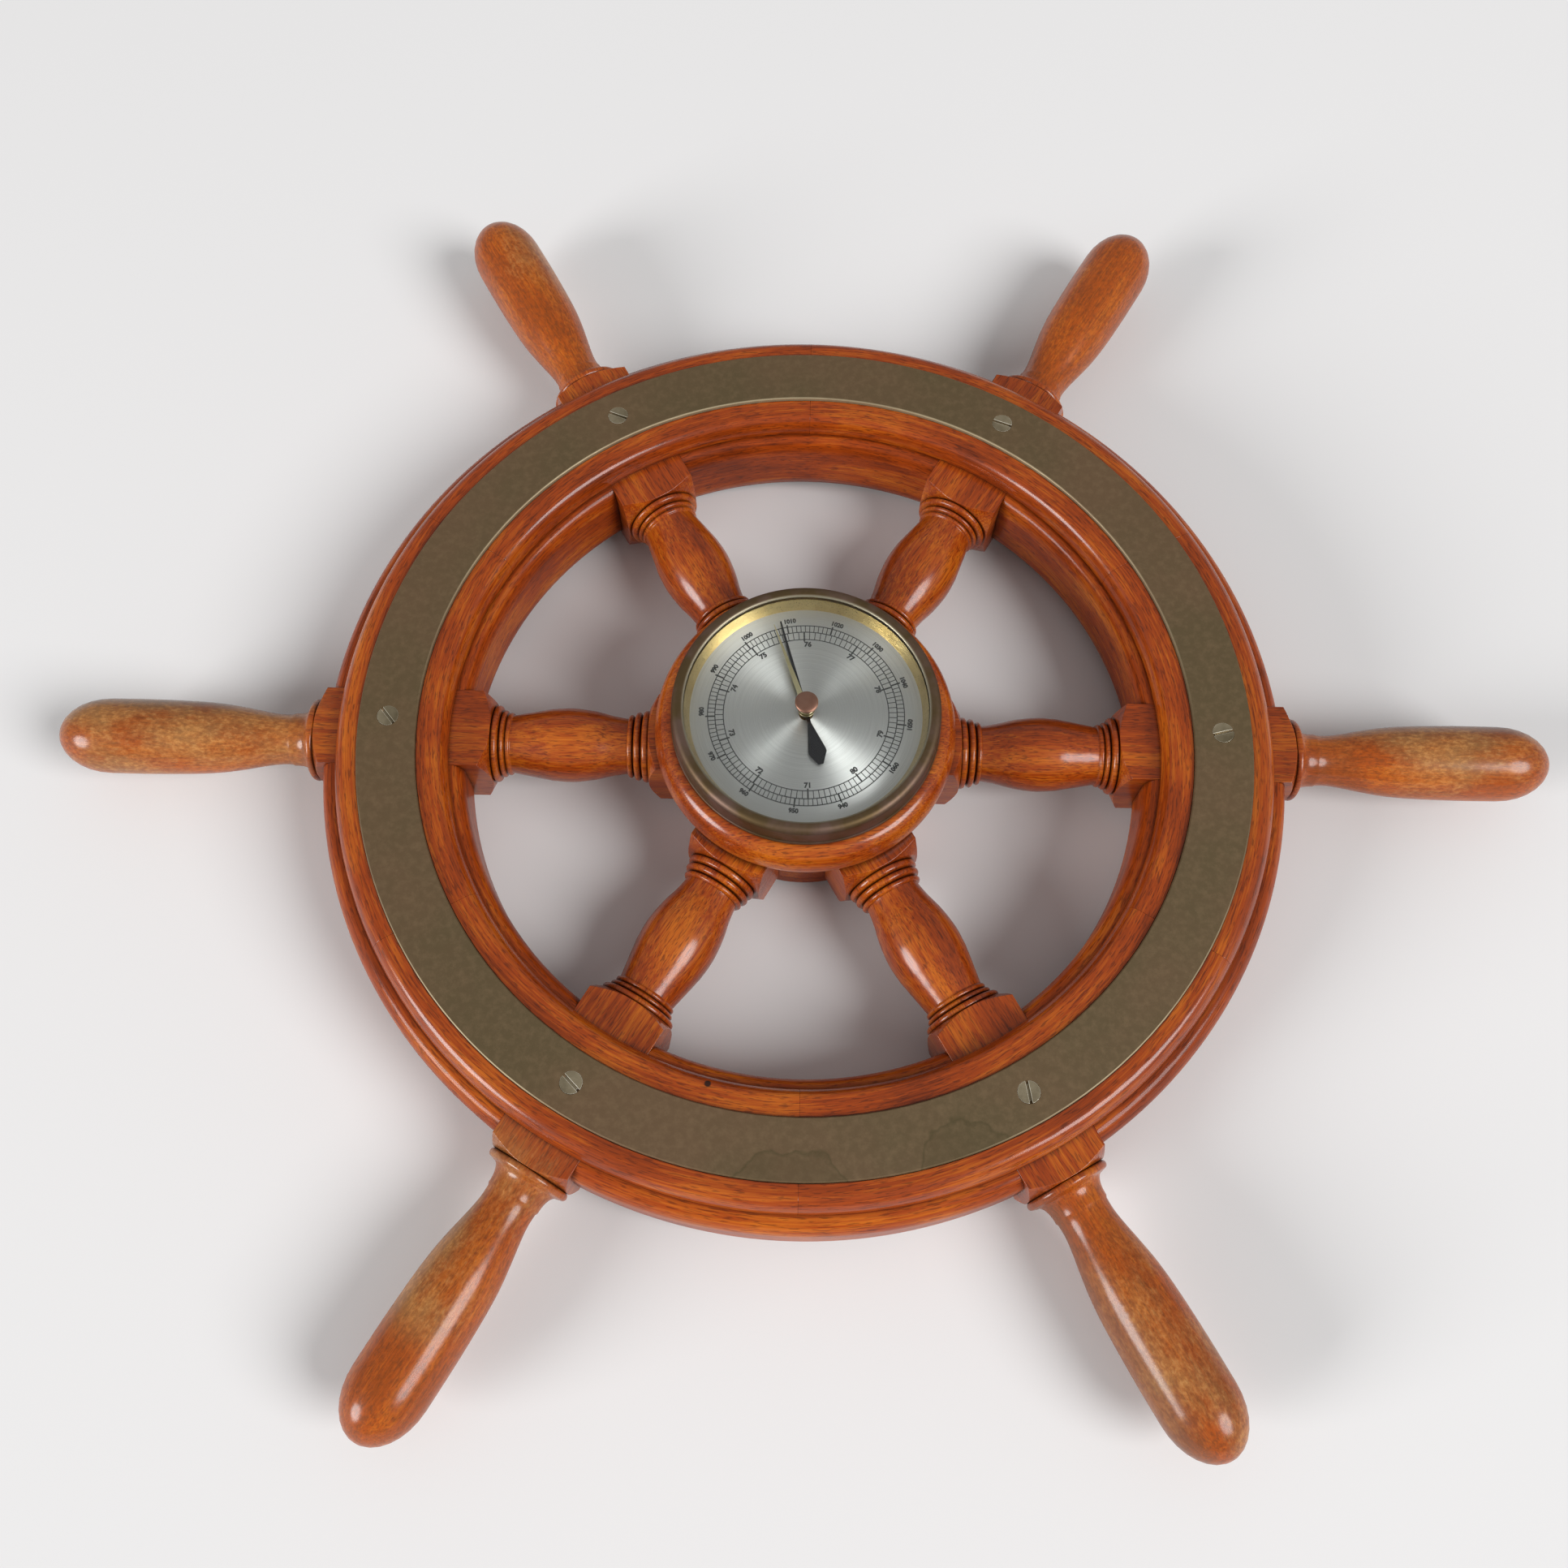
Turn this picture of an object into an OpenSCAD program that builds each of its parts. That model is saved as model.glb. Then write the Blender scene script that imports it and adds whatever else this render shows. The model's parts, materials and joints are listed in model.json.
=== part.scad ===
// Ship wheel barometer: a turned and glued wooden steering wheel, lying on its back,
// with an aneroid barometer let into the hub. Millimetres, front face up, hub axis on Z,
// back of the rim at Z = 0. The first spoke points along +X.

/* [Wheel] */
// Radius from the hub axis to the tip of a handle
tip_r = 235; // [228:1:260]
// Side of the square blocks of a spoke, which is also the thickness of the middle layer
block_w = 25.3; // [23:0.1:27]
// Thickness of the front layer and of the back layer of the rim
felloe_t = 6.8; // [6:0.1:9]

/* [Rim] */
// Inner radius of the middle layer
rim_in = 105.5; // [102:0.5:108]
// Width of the middle layer, from its inner to its outer edge
rim_w = 43.5; // [41:0.5:47]
// Width of the ledge that the middle layer shows inside the front layer
step_in = 4.1; // [3.2:0.1:5]
// Width of the ledge that the middle layer shows outside the front layer
step_out = 5.3; // [4:0.1:6.5]
// Flat of each ledge beside the quirk line
quirk_w = 0.5; // [0.2:0.1:1]
// Height of the rounded edges of the middle layer
bead_h = 6; // [4:0.2:9]
// Width of the rounded inner edge of the outer layers
ovolo_in = 3.4; // [2:0.1:4.5]
// Width of the rounded outer edge of the outer layers
ovolo_out = 4.7; // [3:0.1:5.5]
// Height of the straight lower part of those edges
ovolo_fillet = 0.9; // [0.4:0.1:1.5]

/* [Brass ring] */
// Width of the wood that shows inside the brass ring
ring_inset = 8.7; // [7:0.1:12]
// Width of the wood that shows outside the brass ring
ring_outset = 7.7; // [6.5:0.1:12]
// Thickness of the brass ring
ring_t = 3; // [2:0.1:4]
// Height of the brass ring above the wood
ring_proud = 1.15; // [0.4:0.05:1.5]
// Head diameter of the ring screws
ring_screw_head_d = 6.5; // [5.5:0.1:7.5]
// Shank diameter of the ring screws
ring_screw_d = 3.2; // [2.6:0.1:3.8]
// Length of the ring screws
ring_screw_l = 17; // [12:0.5:19]

/* [Spokes] */
// Length of square block that shows beyond the hub cap
hub_block_show = 2.5; // [1.5:0.1:5]
// Length of the turned beads beside the hub block
hub_beads_l = 7.7; // [6:0.1:10]
// Diameter of the waist beside those beads
waist_d = 17.6; // [14:0.1:19]
// Largest diameter of the turned belly
belly_d = 23.4; // [21:0.1:24.4]
// Diameter of the waist beside the rim beads
rim_waist_d = 18.4; // [15:0.1:20]
// Length of the turned beads beside the rim block
rim_beads_l = 6; // [4.5:0.1:8]
// Length of square block that shows inside the rim
rim_block_in_show = 8; // [5:0.1:11]
// Length of square block that shows outside the rim
rim_block_out_show = 3; // [1.5:0.1:6]
// Length of the chamfers turned on the ends of the blocks
block_chamfer = 3; // [1:0.1:4]
// Diameter of the collar outside the rim
collar_d = 25.9; // [23:0.1:28]
// Length of the collar and its cove
collar_l = 9.5; // [8:0.1:12]
// Diameter of the cove beside the collar
cove_d = 16.6; // [14:0.1:18]
// Smallest diameter of a handle
grip_neck_d = 15.9; // [13.5:0.1:17.5]
// Largest diameter of a handle
grip_d = 23.7; // [21:0.1:27]
// Length of the domed end of a handle
dome_l = 16; // [12:0.5:22]

/* [Hub] */
// Width of the wooden front cap outside the bezel
cap_w = 5.4; // [4:0.1:8]
// Thickness of the front cap
cap_t = 12.5; // [11:0.1:15]
// Height of the rounded shoulder of the front cap
cap_shoulder = 8; // [5:0.1:9]
// Wall of the hub core around the case
core_wall = 10.9; // [9.5:0.1:13]
// Depth of the mortises that hold the spokes
mortise_d = 7.5; // [4:0.1:8]
// Width of the lip at the back of the hub that covers the bore
back_lip = 2.6; // [1:0.1:3]
// Shank diameter of the screws in the back of the hub
hub_screw_d = 3; // [2.4:0.1:3.6]

/* [Barometer case] */
// Outer radius of the brass case
case_r = 27.4; // [26.8:0.1:28.2]
// Depth of the case behind the face of the cap
case_l = 28.8; // [28:0.1:34]
// Wall thickness of the case
case_wall = 0.8; // [0.5:0.05:1]
// Width of the flange of the case
flange_w = 11.8; // [11.2:0.1:12.2]
// Thickness of the flange of the case
flange_t = 0.9; // [0.6:0.05:1.5]
// Width of the bezel beyond the flange
bezel_w = 1.4; // [1:0.1:2.3]
// Width of the lip of the bezel over the glass
lip_w = 1.4; // [1.2:0.1:2.5]
// Thickness of the lip of the bezel over the glass
lip_t = 0.8; // [0.5:0.05:1.5]
// Thickness of the glass
glass_t = 2; // [1.5:0.1:3]
// Height of the seat of the dial above the face of the cap
dial_lift = 1.7; // [1:0.1:2.5]
// Space between the dial and the glass
dial_gap = 3.9; // [3.7:0.1:6]
// Width of the sloped ring that shows inside the bezel
slope_w = 1.7; // [1.2:0.1:2.8]
// Thickness of the dial
dial_t = 0.5; // [0.4:0.05:1]

/* [Hands] */
// Space between the tip of the pointer and the sloped ring
pointer_gap = 3.8; // [1.8:0.1:10]
// Length of the tail of the pointer
tail_l = 17.4; // [10:0.1:22]
// Thickness of the hands
hand_t = 0.35; // [0.2:0.05:0.5]
// Direction of the pointer at rest
pointer_angle = 105.3; // [0:0.1:359]
// Space between the tip of the set hand and the sloped ring
set_hand_gap = 4.9; // [1.8:0.1:11]
// Direction of the set hand at rest
set_angle = 109.8; // [0:0.1:359]
// Diameter of the setting knob
knob_d = 6.9; // [5.5:0.1:9]
// Height of the setting knob
knob_h = 3.2; // [2.8:0.1:5]
// Diameter of the stem through the glass
stem_d = 2; // [1.4:0.1:2.4]

/* [Movement] */
// Radius of the aneroid capsule as a share of the radius inside the case
capsule_share = 0.545; // [0.45:0.005:0.555]
// Height of the aneroid capsule
capsule_h = 5.5; // [4:0.1:6]
// Distance of the capsule from the hub axis as a share of that radius
capsule_place = 0.32; // [0.3:0.005:0.34]
// Thickness of the base plate
base_t = 1.2; // [0.8:0.1:1.6]
// Thickness of the adjusting bar
bar_t = 0.8; // [0.5:0.05:1.2]
// Length of the short arm of the rocker
crank_l = 1.9; // [1.6:0.1:2.2]
// Length of the long arm of the rocker
rocker_l = 7.75; // [7:0.05:9]
// Radius of the waist that the chain winds on
pulley_r = 0.4; // [0.3:0.05:0.5]
// Radius of the pointer arbor
arbor_r = 0.6; // [0.5:0.05:0.8]
// Outer radius of the hairspring
hairspring_r = 5.5; // [4:0.1:6]
// Thickness of the bridge plate
bridge_t = 1.2; // [0.8:0.1:1.6]
// Height of the bridge plate below the face of the cap
bridge_drop = 4; // [3.6:0.1:4.6]
// Diameter of the pillars
pillar_d = 3.2; // [2.6:0.1:3.6]

/* [Hanger] */
// Width of the brass keyhole plate
hanger_w = 46; // [40:1:56]
// Height of the keyhole plate
hanger_h = 19; // [16:0.5:21]
// Thickness of the keyhole plate
hanger_t = 1.4; // [1:0.1:2]
// Diameter of the round hole of the keyhole
keyhole_d = 9; // [8:0.1:10]
// Width of the slot of the keyhole
keyhole_slot_w = 4.5; // [4.2:0.1:5]
// Length of the slot above the round hole
keyhole_slot_l = 8; // [6:0.1:9]
// Depth of the pocket for the screw head
keyhole_depth = 5.6; // [5:0.1:6]

/* [Hidden] */

// Clearances
fit = 0.05;      // shafts in bores, and turned parts pushed together
slip = 0.2;      // loose parts dropped into a recess
air = 0.3;       // parts that pass each other

// Counts and angles
spokes = 6;
pitch = 360 / spokes;
rim_fn = 180;
turn_fn = 72;

// Levels, from the back up
z_ax = felloe_t + block_w / 2;
z_ply = felloe_t + block_w;
z_face = z_ply + felloe_t;
z_cap = z_ply + cap_t;
z_flange = z_cap - flange_t;
z_case = z_cap - case_l;
z_floor = z_case + case_wall;
z_seat = z_cap + dial_lift;
z_dial = z_seat + dial_t;
z_glass = z_dial + dial_gap;
z_lip = z_glass + glass_t;
z_bezel = z_lip + lip_t;

// Radii and places on the rim
rim_out = rim_in + rim_w;
face_in = rim_in + step_in;
face_out = rim_out - step_out;
ring_in = face_in + ring_inset;
ring_out = face_out - ring_outset;
ring_mid = (ring_in + ring_out) / 2;
ring_bed = z_face + ring_proud - ring_t;
rim_mid = (face_in + face_out) / 2;

// Radii of the hub and of the case, from the case outward
bore_r = case_r + slip;
can_r = case_r - case_wall;
core_r = bore_r + core_wall;
back_hole_r = bore_r - back_lip;
flange_r = case_r + flange_w;
bezel_r = flange_r + bezel_w;
cap_r = bezel_r + cap_w;
dial_r = flange_r - 1.6;
glass_r = dial_r + 0.4;
sight_r = glass_r - lip_w;
dial_show_r = sight_r - slope_w;
pointer_l = dial_show_r - pointer_gap;
set_hand_l = dial_show_r - set_hand_gap;

// Places along a spoke
mortise_r = core_r - mortise_d;
hub_block_end = cap_r + hub_block_show;
rim_block_start = rim_in - rim_block_in_show;
rim_block_end = rim_out + rim_block_out_show;
grip_start = rim_block_end + collar_l;
block_corner = block_w / sqrt(2) + 0.2;

// Places in the case
base_r = can_r - 2 * air;
capsule_r = capsule_share * can_r;
capsule_x = capsule_place * can_r;
z_base = z_floor + base_t;
bar_gap = 0.8;
z_bar = z_base + bar_gap;
boss_h = 0.45;
z_capsule = z_bar + bar_t + boss_h;
z_boss = z_capsule + capsule_h + boss_h;
z_bridge = z_cap - bridge_drop;
z_bridge_under = z_bridge - bridge_t;
bar_reach = can_r - 6.6;
pillar_place = can_r - pillar_d / 2 - 1.2;
pillar_turn = 32;

// Pointer train
chain_t = 0.45;
chain_h = 0.7;
chain_y = pulley_r + chain_t / 2 + 0.075;
z_chain = z_bridge_under - 2.35;
drum_h = 1.2;
drum_rim_t = 0.3;
drum_rim_r = 1.1;
z_rocker = z_chain - rocker_l;
rocker_x = capsule_x + crank_l;
rocker_body_r = 0.9;
pivot_r = 0.4;
finger_t = 0.8;
stud_tip_r = 0.8;
z_stud = z_rocker - finger_t / 2 - 0.15;
spring_h = 0.7;
z_spring = z_chain - 2.2;
z_cock = z_spring - 1.8;
cock_t = 1;
z_arbor_top = z_dial + 2.2;
z_set_hand = z_glass - 1 - hand_t;
z_pointer = z_dial + 1.3;

// Slot directions of the ring screws
ring_slot_turn = [15, 100, 40, 130, 75, 160];

// Points of a quarter ellipse from a to b. It leaves a along the first axis
// if flat is true, and along the second axis if not.
function quarter(a, b, flat, n = 8) = [
    for (i = [0:n])
        let (t = 90 * i / n, u = flat ? sin(t) : 1 - cos(t), v = flat ? 1 - cos(t) : sin(t))
        [a[0] + (b[0] - a[0]) * u, a[1] + (b[1] - a[1]) * v]
];

// Points of a bead that stands h over radius r, between the places x0 and x1
function bead(x0, x1, r, h, n = 8) = [
    for (i = [0:n])
        let (t = 180 * i / n)
        [r + h * sin(t), (x0 + x1) / 2 - (x1 - x0) / 2 * cos(t)]
];

// A smooth curve through stations
function blend(p, i, t) =
    let (a = p[max(i - 1, 0)], b = p[i], c = p[i + 1], d = p[min(i + 2, len(p) - 1)])
    0.5 * (2 * b + (c - a) * t + (2 * a - 5 * b + 4 * c - d) * t * t
        + (3 * b - a - 3 * c + d) * t * t * t);
function smooth(p, n = 4) = concat(
    [for (i = [0:len(p) - 2], k = [0:n - 1]) blend(p, i, k / n)],
    [p[len(p) - 1]]
);

// Stations of a turned swelling: place as a share of its length, swelling as a share of its rise
function swelling(x0, l, r0, r1, table) = [for (s = table) [r0 + (r1 - r0) * s[1], x0 + l * s[0]]];

// Helpers
module at_spoke(k) rotate([0, 0, pitch * (k - 1)]) children();
module lathe(points) rotate([0, 90, 0]) rotate_extrude($fn = turn_fn) polygon(points);
module disc(r, h, z = 0, fn = turn_fn) translate([0, 0, z]) cylinder(r = r, h = h, $fn = fn);
module bar(size, pos) translate(pos) cube(size);
module arc_piece(points, start, angle)
    rotate([0, 0, start]) rotate_extrude(angle = angle, $fn = rim_fn) polygon(points);

// Sections of the rim, as radius and height
middle_section = concat(
    quarter([rim_in, felloe_t + bead_h], [face_in - quirk_w, felloe_t], false),
    quarter([face_out + quirk_w, felloe_t], [rim_out, felloe_t + bead_h], true),
    quarter([rim_out, z_ply - bead_h], [face_out + quirk_w, z_ply], false),
    quarter([face_in - quirk_w, z_ply], [rim_in, z_ply - bead_h], true)
);
back_section = concat(
    quarter([face_in, felloe_t - ovolo_fillet], [face_in + ovolo_in, 0], false),
    quarter([face_out - ovolo_out, 0], [face_out, felloe_t - ovolo_fillet], true),
    [[face_out, felloe_t], [face_in, felloe_t]]
);
front_section = concat(
    [[face_in, z_ply], [face_out, z_ply]],
    quarter([face_out, z_ply + ovolo_fillet], [face_out - ovolo_out, z_face], false),
    [
        [ring_out + fit * 2, z_face], [ring_out + fit * 2, ring_bed],
        [ring_in - fit * 2, ring_bed], [ring_in - fit * 2, z_face]
    ],
    quarter([face_in + ovolo_in, z_face], [face_in, z_ply + ovolo_fillet], true)
);

// Holes of the ring screws, one on each spoke
module ring_screw_hole()
    translate([ring_mid, 0, z_face + ring_proud - ring_screw_l])
        cylinder(d = ring_screw_d + 2 * fit, h = ring_screw_l + 1, $fn = 32);

module front_felloe(k)
    color("sienna")
    difference() {
        arc_piece(front_section, pitch * (k - 1.5), pitch);
        at_spoke(k) ring_screw_hole();
    }

module middle_felloe(k)
    color("saddlebrown")
    difference() {
        arc_piece(middle_section, pitch * (k - 1), pitch);
        for (j = [k, k + 1]) at_spoke(j)
            bar([rim_out - rim_in + 20, block_w, block_w + 2], [rim_in - 10, -block_w / 2, felloe_t - 1]);
    }

// Outline of the keyhole, round hole below and slot above
module keyhole_outline(grow = 0) {
    circle(d = keyhole_d + 2 * grow, $fn = 48);
    translate([-keyhole_slot_w / 2 - grow, 0]) square([keyhole_slot_w + 2 * grow, keyhole_slot_l]);
    translate([0, keyhole_slot_l]) circle(d = keyhole_slot_w + 2 * grow, $fn = 32);
}
keyhole_y = rim_mid + (keyhole_d / 2 - keyhole_slot_l - keyhole_slot_w / 2) / 2;
hanger_screw_x = hanger_w / 2 - hanger_h / 4 - 1.5;
hanger_screw_d = 2.6;
hanger_screw_l = felloe_t + 6;

module hanger_outline(grow = 0) {
    r = 3;
    for (sx = [-1, 1], sy = [-1, 1])
        translate([sx * (hanger_w / 2 - r), rim_mid + sy * (hanger_h / 2 - r)]) circle(r = r + grow, $fn = 32);
    translate([-hanger_w / 2 + r, rim_mid - hanger_h / 2 - grow]) square([hanger_w - 2 * r, hanger_h + 2 * grow]);
    translate([-hanger_w / 2 - grow, rim_mid - hanger_h / 2 + r]) square([hanger_w + 2 * grow, hanger_h - 2 * r]);
}

module back_felloe(k)
    color("sienna")
    difference() {
        arc_piece(back_section, pitch * (k - 1.5), pitch);
        translate([0, 0, -1]) linear_extrude(hanger_t + 1) hanger_outline(fit * 2);
        translate([0, keyhole_y, hanger_t - 0.1])
            linear_extrude(keyhole_depth - hanger_t + 0.1) {
                circle(d = keyhole_d + 1, $fn = 48);
                translate([-keyhole_d / 2 - 0.5, 0]) square([keyhole_d + 1, keyhole_slot_l]);
                translate([0, keyhole_slot_l]) circle(d = keyhole_d + 1, $fn = 48);
            }
        for (sx = [-1, 1]) translate([sx * hanger_screw_x, rim_mid, -1])
            cylinder(d = hanger_screw_d + 2 * fit, h = felloe_t + 2, $fn = 32);
    }

// A square block whose corners are turned away at the ends
module square_block(x0, x1, c0, c1)
    intersection() {
        bar([x1 - x0, block_w, block_w], [x0, -block_w / 2, -block_w / 2]);
        lathe([
            [0, x0 - 0.01], [c0 > 0 ? block_w / 2 : block_corner, x0 - 0.01], [block_corner, x0 + c0],
            [block_corner, x1 - c1], [c1 > 0 ? block_w / 2 : block_corner, x1 + 0.01], [0, x1 + 0.01]
        ]);
    }

hub_bead_r = block_w / 2 - 1;
waist_profile = concat(
    [[0, hub_block_end - 1], [hub_bead_r - 1, hub_block_end - 1]],
    bead(hub_block_end, hub_block_end + hub_beads_l * 0.28, hub_bead_r - 1, 0.7),
    bead(hub_block_end + hub_beads_l * 0.34, hub_block_end + hub_beads_l * 0.62, hub_bead_r - 2.1, 1.3),
    bead(hub_block_end + hub_beads_l * 0.66, hub_block_end + hub_beads_l * 0.9, waist_d / 2, 1.2),
    smooth(swelling(hub_block_end + hub_beads_l, rim_block_start - rim_beads_l - hub_block_end - hub_beads_l,
        waist_d / 2, belly_d / 2,
        [[0, 0], [0.12, 0.25], [0.28, 0.72], [0.48, 1], [0.66, 0.88]])),
    smooth([
        [rim_waist_d / 2 + (belly_d - rim_waist_d) * 0.24, rim_block_start - rim_beads_l * 2.1],
        [rim_waist_d / 2, rim_block_start - rim_beads_l]
    ]),
    bead(rim_block_start - rim_beads_l * 0.95, rim_block_start - rim_beads_l * 0.7, rim_waist_d / 2, 0.7),
    bead(rim_block_start - rim_beads_l * 0.65, rim_block_start - rim_beads_l * 0.38, rim_waist_d / 2 + 0.3, 1.1),
    bead(rim_block_start - rim_beads_l * 0.34, rim_block_start, block_w / 2 - 1.5, 1),
    [[block_w / 2 - 2, rim_block_start], [block_w / 2 - 2, rim_block_start + 1], [0, rim_block_start + 1]]
);

grip_table = [[0, 0], [0.05, 0], [0.115, 0.17], [0.2, 0.47], [0.3, 0.76], [0.42, 0.92], [0.6, 1], [0.78, 0.99]];
grip_l = tip_r - grip_start;
dome_start = tip_r - dome_l;
grip_profile = concat(
    [[0, rim_block_end - 1], [block_w / 2 - 2, rim_block_end - 1], [block_w / 2 - 2, rim_block_end]],
    bead(rim_block_end, rim_block_end + collar_l * 0.26, block_w / 2 - 0.8, collar_d / 2 - block_w / 2 + 0.8),
    quarter([collar_d / 2 - 2.4, rim_block_end + collar_l * 0.3], [cove_d / 2, rim_block_end + collar_l * 0.85], true),
    [[cove_d / 2, rim_block_end + collar_l * 0.92]],
    smooth(swelling(grip_start, grip_l - dome_l, grip_neck_d / 2, grip_d / 2,
        [for (s = grip_table) [s[0] / 0.78, s[1]]])),
    [for (i = [1:8]) let (t = 90 * i / 8) [grip_d / 2 * 0.995 * cos(t), dome_start + dome_l * sin(t)]]
);

module spoke(k)
    color("chocolate")
    difference() {
        at_spoke(k) translate([0, 0, z_ax]) {
            square_block(mortise_r, hub_block_end, 0, block_chamfer);
            lathe(waist_profile);
            square_block(rim_block_start, rim_block_end, block_chamfer, block_chamfer);
            lathe(grip_profile);
        }
        at_spoke(k) ring_screw_hole();
    }

// A countersunk hole or head, top face at the origin, pointing down
module countersunk(head_d, shank_d, l, gap = 0) {
    cone_h = (head_d - shank_d) / 2;
    translate([0, 0, -cone_h]) cylinder(d1 = shank_d + 2 * gap, d2 = head_d + 2 * gap, h = cone_h, $fn = 48);
    translate([0, 0, -l]) cylinder(d = shank_d + 2 * gap, h = l, $fn = 32);
}

module slotted_screw(head_d, shank_d, l, turn)
    difference() {
        countersunk(head_d, shank_d, l);
        rotate([0, 0, turn]) bar([head_d + 1, head_d * 0.13, 1.6], [-head_d / 2 - 0.5, -head_d * 0.065, -0.8]);
    }

ring_head_drop = 0.15;
module brass_ring()
    color("darkgoldenrod")
    difference() {
        rotate_extrude($fn = rim_fn) polygon([
            [ring_in, ring_bed], [ring_out, ring_bed], [ring_out, z_face + ring_proud - 0.3],
            [ring_out - 0.3, z_face + ring_proud], [ring_in + 0.3, z_face + ring_proud],
            [ring_in, z_face + ring_proud - 0.3]
        ]);
        for (k = [1:spokes]) at_spoke(k) translate([ring_mid, 0, z_face + ring_proud - ring_head_drop]) {
            countersunk(ring_screw_head_d, ring_screw_d, ring_t + 1, fit);
            cylinder(d = ring_screw_head_d + 2 * fit, h = 1, $fn = 48);
        }
    }

module ring_screws()
    color("silver")
    for (k = [1:spokes]) at_spoke(k)
        translate([ring_mid, 0, z_face + ring_proud - ring_head_drop])
            slotted_screw(ring_screw_head_d, ring_screw_d, ring_screw_l - 0.5, ring_slot_turn[k - 1]);

cap_foot = 2.8;
module hub_cap()
    color("sienna")
    rotate_extrude($fn = 120) polygon(concat(
        [[bore_r, z_ply]],
        quarter([cap_r - cap_foot, z_ply], [cap_r, z_cap - cap_shoulder], true),
        quarter([cap_r, z_cap - cap_shoulder + 0.01], [bezel_r + 0.1, z_cap], false, 12),
        [[flange_r + slip, z_cap], [flange_r + slip, z_flange], [bore_r, z_flange]]
    ));

hub_screw_r = (core_r + bore_r) / 2;
hub_screw_head_d = 6;
hub_screw_l = 16;
module at_hub_screws() for (a = [30, 150, 270]) rotate([0, 0, a]) translate([hub_screw_r, 0, 0]) children();

module hub_core()
    color("saddlebrown")
    difference() {
        disc(core_r, block_w, felloe_t, 96);
        disc(bore_r, block_w + 2, felloe_t - 1, 96);
        for (k = [1:spokes]) at_spoke(k)
            bar([core_r, block_w, block_w + 2], [mortise_r, -block_w / 2, felloe_t - 1]);
        at_hub_screws() disc(hub_screw_d / 2 + fit, hub_screw_l + 1, -1, 32);
    }

module hub_back()
    color("sienna")
    difference() {
        rotate_extrude($fn = 96) polygon(concat(
            [[back_hole_r, 0]],
            quarter([core_r - 3, 0], [core_r, 3], true, 6),
            [[core_r, felloe_t], [back_hole_r, felloe_t]]
        ));
        at_hub_screws() mirror([0, 0, 1]) translate([0, 0, -0.2]) {
            countersunk(hub_screw_head_d, hub_screw_d, felloe_t + 1, fit);
            cylinder(d = hub_screw_head_d + 2 * fit, h = 1, $fn = 48);
        }
    }

module hub_screws()
    color("gray")
    at_hub_screws() mirror([0, 0, 1]) translate([0, 0, -0.2])
        slotted_screw(hub_screw_head_d, hub_screw_d, hub_screw_l - 0.5, 35);

module hanger_plate()
    color("goldenrod")
    difference() {
        linear_extrude(hanger_t) difference() {
            hanger_outline();
            translate([0, keyhole_y]) keyhole_outline();
        }
        for (sx = [-1, 1]) translate([sx * hanger_screw_x, rim_mid, 0.1]) mirror([0, 0, 1]) {
            countersunk(hanger_screw_d * 1.9, hanger_screw_d, hanger_t + 1, fit);
            cylinder(d = hanger_screw_d * 1.9 + 2 * fit, h = 1, $fn = 48);
        }
    }

module hanger_screws()
    color("goldenrod")
    for (sx = [-1, 1]) translate([sx * hanger_screw_x, rim_mid, 0.1]) mirror([0, 0, 1])
        slotted_screw(hanger_screw_d * 1.9, hanger_screw_d, felloe_t - 0.6, 60 * sx);

// Barometer case: a spun cup with a flange that hangs in the front cap and carries the dial
adjust_y = -bar_reach;
adjust_d = 2.4;
module adjust_hole() translate([capsule_x, adjust_y, z_case - 1]) cylinder(d = adjust_d + 2 * fit, h = 6, $fn = 32);
base_screw_r = base_r - 4;
base_screw_d = 2.2;
module at_base_screws() for (a = [90, 180, 235]) rotate([0, 0, a]) translate([base_screw_r, 0, 0]) children();

seat_w = 2.2;
module case()
    color("darkgoldenrod")
    difference() {
        rotate_extrude($fn = 120) polygon([
            [0, z_case], [case_r - 1, z_case], [case_r, z_case + 1], [case_r, z_flange],
            [flange_r, z_flange], [flange_r, z_cap], [dial_r, z_cap], [dial_r, z_seat],
            [dial_r - seat_w, z_seat], [dial_r - seat_w, z_cap], [can_r, z_cap], [can_r, z_floor], [0, z_floor]
        ]);
        adjust_hole();
        at_base_screws() disc(base_screw_d / 2 + fit, 3, z_case - 1, 32);
    }

bezel_foot_h = 1;
bezel_in_r = glass_r + slip;
module bezel()
    color("darkgoldenrod")
    rotate_extrude($fn = 120) polygon(concat(
        [
            [bezel_in_r, z_cap], [bezel_r, z_cap], [bezel_r, z_cap + bezel_foot_h],
            [bezel_r - 0.4, z_cap + bezel_foot_h + 0.4]
        ],
        quarter([bezel_r - 0.4, z_bezel - 2], [bezel_r - 2.4, z_bezel], false),
        quarter([sight_r + 1.2, z_bezel], [sight_r, z_bezel - lip_t * 0.75], true, 6),
        [[sight_r, z_lip], [bezel_in_r, z_lip]]
    ));

module glass()
    color([0.8, 0.9, 0.9, 0.35])
    difference() {
        disc(glass_r, glass_t - fit, z_glass, 120);
        disc(bush_r + fit, glass_t + 2, z_glass - 1, 48);
    }

module sloped_ring()
    color("gold")
    rotate_extrude($fn = 120) polygon([
        [dial_show_r, z_dial], [glass_r, z_dial], [glass_r, z_glass], [sight_r - 0.1, z_glass]
    ]);

module dial()
    color("gainsboro")
    difference() {
        disc(dial_r, dial_t, z_seat, 120);
        disc(2.2, dial_t + 2, z_seat - 1, 32);
    }

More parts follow.
